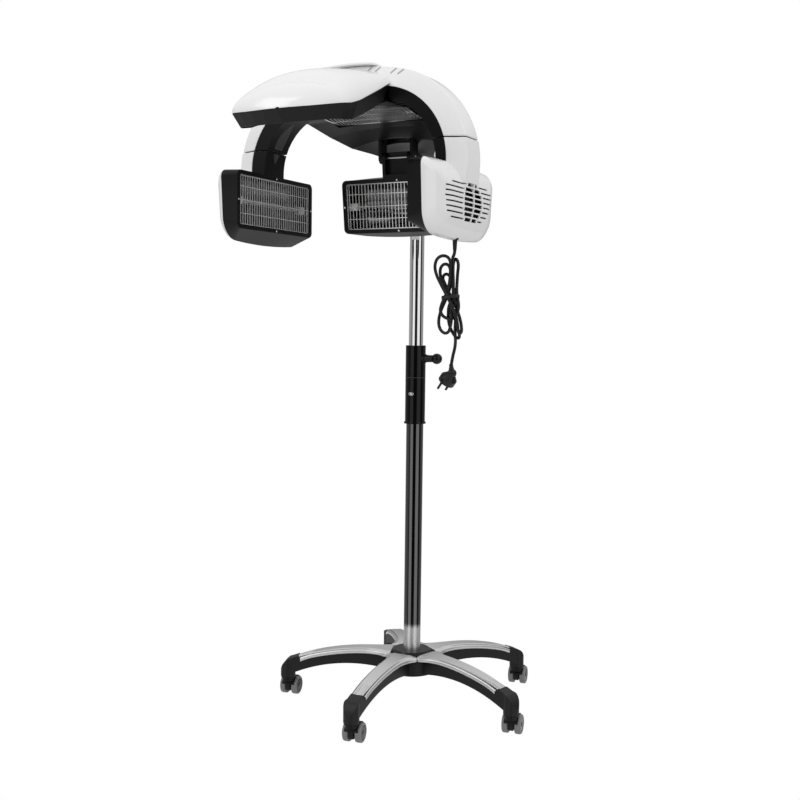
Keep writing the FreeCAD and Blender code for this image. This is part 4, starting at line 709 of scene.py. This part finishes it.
def make_arch():
    corners = [(0, -28), (0, 28), (39, 43.5), (39, 40.5), (3, 25), (3, -25), (39, -40.5), (39, -43.5)]
    section = rounded(corners, [7, 7, 1.2, 0.6, 3, 3, 0.6, 1.2])
    grid = arch_grid(section, 1222.0, 0.3)
    for side, points in (("right", grid), ("left", mirrored(grid))):
        skin = surface("arch_skin_" + side, points, "head", WHITE_SKIN, wrap_columns=True,
                       caps=True)
        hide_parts("arch_shell_" + side)
        make_flange(side)


# ---------------------------------------------------------------------- column

def make_column():
    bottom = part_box("lower_tube")[0][2] * 1000.0
    lower = [(bottom, 17.6), (bottom, 19.2), (748.2, 19.2), (749.0, 18.6), (749.0, 17.6)]
    tube = lathe("lower_tube_skin", lower, (0, 0, 0), (0, 0, 1), "base", LOWER_TUBE_PAINTED_REFLECTION, 96)
    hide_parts("lower_tube")
    upper = [(400, 14.5), (400, 16.0), (1300, 16.0), (1300, 14.5)]
    tube = lathe("upper_tube_skin", upper, (0, 0, 0), (0, 0, 1), "mast", CHROME, 96)
    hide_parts("upper_tube")


# ------------------------------------------------------------------ lamp units

def side_lamp(x, y, z, side):
    return np.array([side * (190.0 + z), HEAD_Y + x, 1113.0 + y])


def rear_lamp(x, y, z):
    c, s = math.cos(math.radians(7.0)), math.sin(math.radians(7.0))
    return np.array([-x, -s * y + c * z - 95.0, c * y + s * z + 1124.0])


def top_lamp(x, y, z):
    c, s = math.cos(math.radians(8.7)), math.sin(math.radians(8.7))
    return np.array([-x, -c * y + s * z - 224.0, s * y + c * z + 1291.0])


TUBE_R, TUBE_BORE = 5.5, 4.2
COIL_R, COIL_PITCH, COIL_WIRE_R = 2.3, 3.4, 0.45
HOLDER_LENGTH = 20.0


def coil_grid(start, axis, long):
    """Round wire of radius w wound on a helix: start + axis*t + r*(u cos 2 pi n t + v sin 2 pi n t)."""
    turns = long / COIL_PITCH
    t = np.linspace(0, 1, int(turns * 9))
    unit = axis / long
    u = np.cross(unit, [0, 0, 1.0])
    u /= np.linalg.norm(u)
    v = np.cross(unit, u)
    wind = 2 * np.pi * turns * t
    core = start + axis * t[:, None] + COIL_R * (np.cos(wind)[:, None] * u + np.sin(wind)[:, None] * v)
    along = np.gradient(core, axis=0)
    along /= np.linalg.norm(along, axis=1, keepdims=True)
    n1 = np.cross(along, unit)
    n1 /= np.linalg.norm(n1, axis=1, keepdims=True)
    n2 = np.cross(along, n1)
    r = np.linspace(0, 2 * np.pi, 5, endpoint=False)[None, :, None]
    return core[:, None] + COIL_WIRE_R * (np.cos(r) * n1[:, None] + np.sin(r) * n2[:, None])


def holder_grid(place, end, away, half):
    """Square ceramic block with softened corners, standing on the end of a tube and pointing away from it."""
    corners = rounded([(-half, -half), (half, -half), (half, half), (-half, half)], [1.5] * 4, 4)
    ups = place(0, 1, 0) - place(0, 0, 0)
    deeps = place(0, 0, 1) - place(0, 0, 0)
    rows = []
    for reach, size in ((0.0, 0.9), (0.6, 1.0), (HOLDER_LENGTH - 0.8, 1.0), (HOLDER_LENGTH, 0.92)):
        rows.append(end + away * reach + size * (corners[:, :1] * ups + corners[:, 1:] * deeps))
    return np.array(rows)


def make_heater(name, place, half, y, z, ceramic, body):
    """Quartz tube from -half to half along the lamp, its coil and the ceramic holders at both ends."""
    start, end = place(-half, y, z), place(half, y, z)
    axis = end - start
    long = np.linalg.norm(axis)
    unit = axis / long
    profile = [(0, TUBE_BORE), (0, TUBE_R), (long, TUBE_R), (long, TUBE_BORE)]
    tube = lathe(name + "_tube", profile, start, axis, body, QUARTZ, 24)
    joined(name + "_coil", [coil_grid(start, axis, long)], body, FILAMENT)
    holders = [holder_grid(place, start, -unit, ceramic / 2), holder_grid(place, end, unit, ceramic / 2)]
    joined(name + "_holders", holders, body, CERAMIC)
    return tube


HEATER_HALF, HEATER_DEEP, HOLDER_SIZE = 105.7, 19, 16
TOP_HEATER_HALF, TOP_HEATER_Y, TOP_HEATER_DEEP, TOP_HOLDER_SIZE = 74.7, 18, 14, 12


def right_lamp(x, y, z):
    return side_lamp(x, y, z, 1)


def left_lamp(x, y, z):
    return side_lamp(x, y, z, -1)


PODS = [("right", right_lamp), ("left", left_lamp), ("rear", rear_lamp)]


def make_heaters():
    for side, place in PODS:
        body = side + "_lamp"
        heater = make_heater(side + "_heater", place, HEATER_HALF, 0, HEATER_DEEP, HOLDER_SIZE, body)
        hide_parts(side + "_heater")
    for k, y in enumerate((-TOP_HEATER_Y, TOP_HEATER_Y)):
        name = "top_heater_%d" % k
        make_heater(name, top_lamp, TOP_HEATER_HALF, y, TOP_HEATER_DEEP, TOP_HOLDER_SIZE, "head")
    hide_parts("top_heaters")


def make_screws():
    """Small domed screw heads on the lamp bezels."""
    dome = [(0.0, 2.2), (0.5, 2.1), (0.9, 1.5), (1.1, 0.5), (1.12, 0.01)]
    spots = [(0, 54), (0, -54), (-132.6, 0), (132.6, 0)]
    for side, place in PODS:
        out = place(0, 0, -1) - place(0, 0, 0)
        heads = [lathe_grid(dome, place(x, y, -0.05), out, 16) for x, y in spots]
        joined(side + "_bezel_screws", heads, side + "_lamp", CHROME)


# ------------------------------------------------------------------------ base

LEG_ANGLES = np.radians(-88.0 + 72.0 * np.arange(5))
# plan of a cover, (distance from the column, half width), and its section, (share of the half width, drop)
COVER_EDGE = np.array([
    (45.6, 33.0), (50.0, 36.2), (55.0, 39.3), (60.0, 36.2), (66.0, 32.0), (76.0, 27.0), (90.0, 23.8),
    (105.0, 21.5), (160.0, 19.9), (265.0, 17.5),
])
COVER_SECTION = np.array([(0.0, 0.0), (0.66, 0.0), (0.72, -2.6), (0.92, -3.2), (1.0, -5.5)])
CREST_Z, CREST_REACH, CREST_ARC = 127.0, 90.0, 545.0
COVER_THICK, COVER_FOLD = 2.0, 5.5
FLUTE_DEPTH, FLUTE_START = 2.2, 222.0
INNER_SHARE = 0.94


def cover_height(x, v):
    """Arc over the leg, z = crest - R + sqrt(R^2 - (x - crest place)^2), with the section and two flutes."""
    crest = CREST_Z - CREST_ARC + np.sqrt(CREST_ARC ** 2 - (x - CREST_REACH) ** 2)
    section = np.interp(np.abs(v), COVER_SECTION[:, 0], COVER_SECTION[:, 1])
    near_hub = np.clip((62.0 - x) / 17.0, 0, 1)
    flute = FLUTE_DEPTH * np.exp(-((np.abs(v) - 0.4) / 0.13) ** 2) * np.clip((x - FLUTE_START) / 14.0, 0, 1)
    return crest + section * (1 - 0.5 * near_hub) - flute


def cover_grid(angle):
    """Rows along a leg, each row running over the top, down the fold and back underneath."""
    tip = np.linspace(FLUTE_START, 265, 24)
    x = np.concatenate([np.linspace(45.6, 110, 34), np.linspace(113, 220, 26), tip])[:, None]
    share = np.array([0.66, 0.72, 0.92, 1.0])
    v = np.concatenate([-share[::-1], np.linspace(-0.62, 0.62, 25), share])[None, :]
    half = smooth_line(x[:, 0], COVER_EDGE[:, 0], COVER_EDGE[:, 1])[:, None]
    reach = x - 7.0 * np.clip((x - 235.0) / 30.0, 0, 1) * v ** 2
    top = np.stack([reach, half * v, cover_height(x, v)], -1)
    inner = np.array([1.0, INNER_SHARE, 1.0])
    fold = np.array([0.0, 0.0, COVER_FOLD])
    under = top[:, ::-1] * inner - np.array([0.0, 0.0, COVER_THICK])
    right_fold, left_fold = top[:, -1:] - fold, top[:, :1] - fold
    row = np.concatenate([top, right_fold, right_fold * inner, under, left_fold * inner, left_fold], axis=1)
    c, s = math.cos(angle), math.sin(angle)
    turned = [row[..., 0] * c - row[..., 1] * s, row[..., 0] * s + row[..., 1] * c, row[..., 2]]
    return np.stack(turned, -1)


def make_covers():
    """Bright cover sheets of the five legs, folded down along their edges."""
    grids = [cover_grid(angle) for angle in LEG_ANGLES]
    covers = joined("leg_cover_skins", grids, "base", COVER)
    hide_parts("leg_covers")


CASTER_CIRCLE, CASTER_TRAIL, WHEEL_R, WHEEL_INNER = 290.0, 19.0, 21.0, 6.0
HEADING = math.radians(100.0)


def make_wheels():
    """Caster wheels turned about their axles, with a dished disc inside a raised rim."""
    heading = np.array([math.cos(HEADING), math.sin(HEADING), 0.0])
    side = np.array([-heading[1], heading[0], 0.0])
    tyre = [(0.6, 4.0), (0.6, 18.0), (1.4, 20.2), (3.2, WHEEL_R), (11.6, WHEEL_R), (13.8, 20.2),
            (14.8, 18.2), (14.8, 16.0), (13.0, 15.6), (13.0, 4.0)]
    disc = [(12.0, 15.5), (13.2, 15.5), (13.2, 14.2), (13.9, 13.4), (14.1, 5.0), (14.9, 4.2), (15.0, 0.01)]
    for number, angle in enumerate(LEG_ANGLES, 1):
        stem = CASTER_CIRCLE * np.array([math.cos(angle), math.sin(angle), 0.0])
        axle = stem + CASTER_TRAIL * heading + np.array([0, 0, WHEEL_R])
        tyres, discs = [], []
        for way in (side, -side):
            tyres.append(lathe_grid(tyre, axle + WHEEL_INNER * way, way, 48))
            discs.append(lathe_grid(disc, axle + WHEEL_INNER * way, way, 48))
        body = "wheels_%d" % number
        wheel = joined("caster_tyres_%d" % number, tyres, body, TREAD)
        joined("caster_discs_%d" % number, discs, body, BLACK_GLOSS)
        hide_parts("caster_wheels_%d" % number)


# --------------------------------------------------------------------- details

def pill_grid(centre, along, across, out, half_long, half_wide, high):
    """Thin raised pad with rounded ends: offsets a cos t and b sin t, straight between the ends."""
    t = np.linspace(0, 2 * np.pi, 40, endpoint=False)
    u = np.cos(t) * half_wide + np.sign(np.cos(t)) * (half_long - half_wide)
    v = np.sin(t) * half_wide
    rows = []
    for lift, shrink in ((-0.4, 1.0), (high * 0.6, 1.0), (high, 0.9), (high, 0.01)):
        rows.append(centre + shrink * (u[:, None] * along + v[:, None] * across) + lift * out)
    return np.array(rows)


VENT_PLACES = (48.0, 66.0, 84.0, 101.0, 117.0)
VENT_HALF_LONG, VENT_HALF_WIDE = 8.0, 1.9
VENT_DEEP, VENT_FORWARD = 8.0, 31.2


def make_crown_vents():
    """Short slanted vent slots along the front slope of the arch near its crown, drawn as thin grey inlays:
    painted shade in place of the openings.
    """
    parts = []
    forward = np.array([0.0, -1.0, 0.0])
    for x in VENT_PLACES:
        flat = x <= SIDE_X
        centre = np.array([0.0 if flat else SIDE_X, 0.0, CROWN_Z if flat else SPRING_Z])
        radius = (CROWN_R if flat else SIDE_R) - VENT_DEEP
        lift = math.sqrt(radius ** 2 - (x - centre[0]) ** 2)
        outward = np.array([x - centre[0], 0.0, lift]) / radius
        tangent = np.array([outward[2], 0.0, -outward[0]])
        slope = -0.93 * outward + 0.37 * forward
        out = 0.37 * outward + 0.93 * forward
        place = centre + radius * outward + (HEAD_Y - VENT_FORWARD) * np.array([0, 1.0, 0])
        along, across = 0.8 * slope - 0.6 * tangent, 0.8 * tangent + 0.6 * slope
        parts.append(pill_grid(place, along, across, out, VENT_HALF_LONG, VENT_HALF_WIDE, 0.2))
    joined("crown_vents", parts, "head", VENT_SHADE_GREY)


LENS_LOW, LENS_HIGH = 8.0, 55.0
LENS_HALF = 15.0
LINER_FACE = SIDE_R - 65.0


def lens_grid(start, end):
    """Pointed oval inside the left arch, half width 15 sin(pi s)^0.9, from share start to end."""
    s = np.linspace(start, end, 24)[:, None]
    a = np.radians(LENS_LOW + (LENS_HIGH - LENS_LOW) * s)
    half = LENS_HALF * np.clip(np.sin(np.pi * s), 0.02, 1) ** 0.9
    v = np.array([-1.0, -0.6, 0.0, 0.6, 1.0])[None, :]
    sides = []
    for r, order in ((LINER_FACE - 0.15, 1), (LINER_FACE + 0.2, -1)):
        w = (half * v)[:, ::order]
        x = -(SIDE_X + r * np.cos(a)) + 0 * w
        z = SPRING_Z + r * np.sin(a) + 0 * w
        sides.append(np.stack([x, HEAD_Y + w, z], -1))
    return np.concatenate(sides, axis=1)


def make_liner_slot():
    """Grey lens-shaped lining on the left arch, continued on the neck of the left lamp."""
    joined("liner_slot_upper", [lens_grid(0.32, 0.98)], "head", SLOT_GREY)
    joined("liner_slot_lower", [lens_grid(0.02, 0.22)], "left_lamp", SLOT_GREY)


SLEEVE_R = 22.5
RIVET_X, RIVET_Z = 0.6, 712.5
RIVET_HALF_WIDE, RIVET_HALF_HIGH = 6.5, 3.6


def make_sleeve_details():
    """Seam ring at the foot of the grip part and the oval rivet below it."""
    seam = [(748.6, 22.0), (748.6, 22.62), (749.6, 22.62), (749.6, 22.0)]
    lathe("sleeve_seam", seam, (0, 0, 0), (0, 0, 1), "base", SLOT_GREY, 96)
    t = np.linspace(0, 2 * np.pi, 40, endpoint=False)
    rows = []
    for lift, share in ((-0.6, 1.0), (0.5, 1.0), (1.0, 0.8), (1.1, 0.05)):
        x = RIVET_HALF_WIDE * share * np.cos(t) + RIVET_X
        z = RIVET_HALF_HIGH * share * np.sin(t) + RIVET_Z
        y = -np.sqrt(SLEEVE_R ** 2 - x ** 2) - lift
        rows.append(np.stack([x, y, z], -1))
    joined("sleeve_rivet", [np.array(rows)], "base", STEEL)


make_canopy()
make_hood()
make_arch()
make_column()
make_covers()
make_wheels()
make_crown_vents()
make_liner_slot()
make_sleeve_details()
make_heaters()
make_screws()
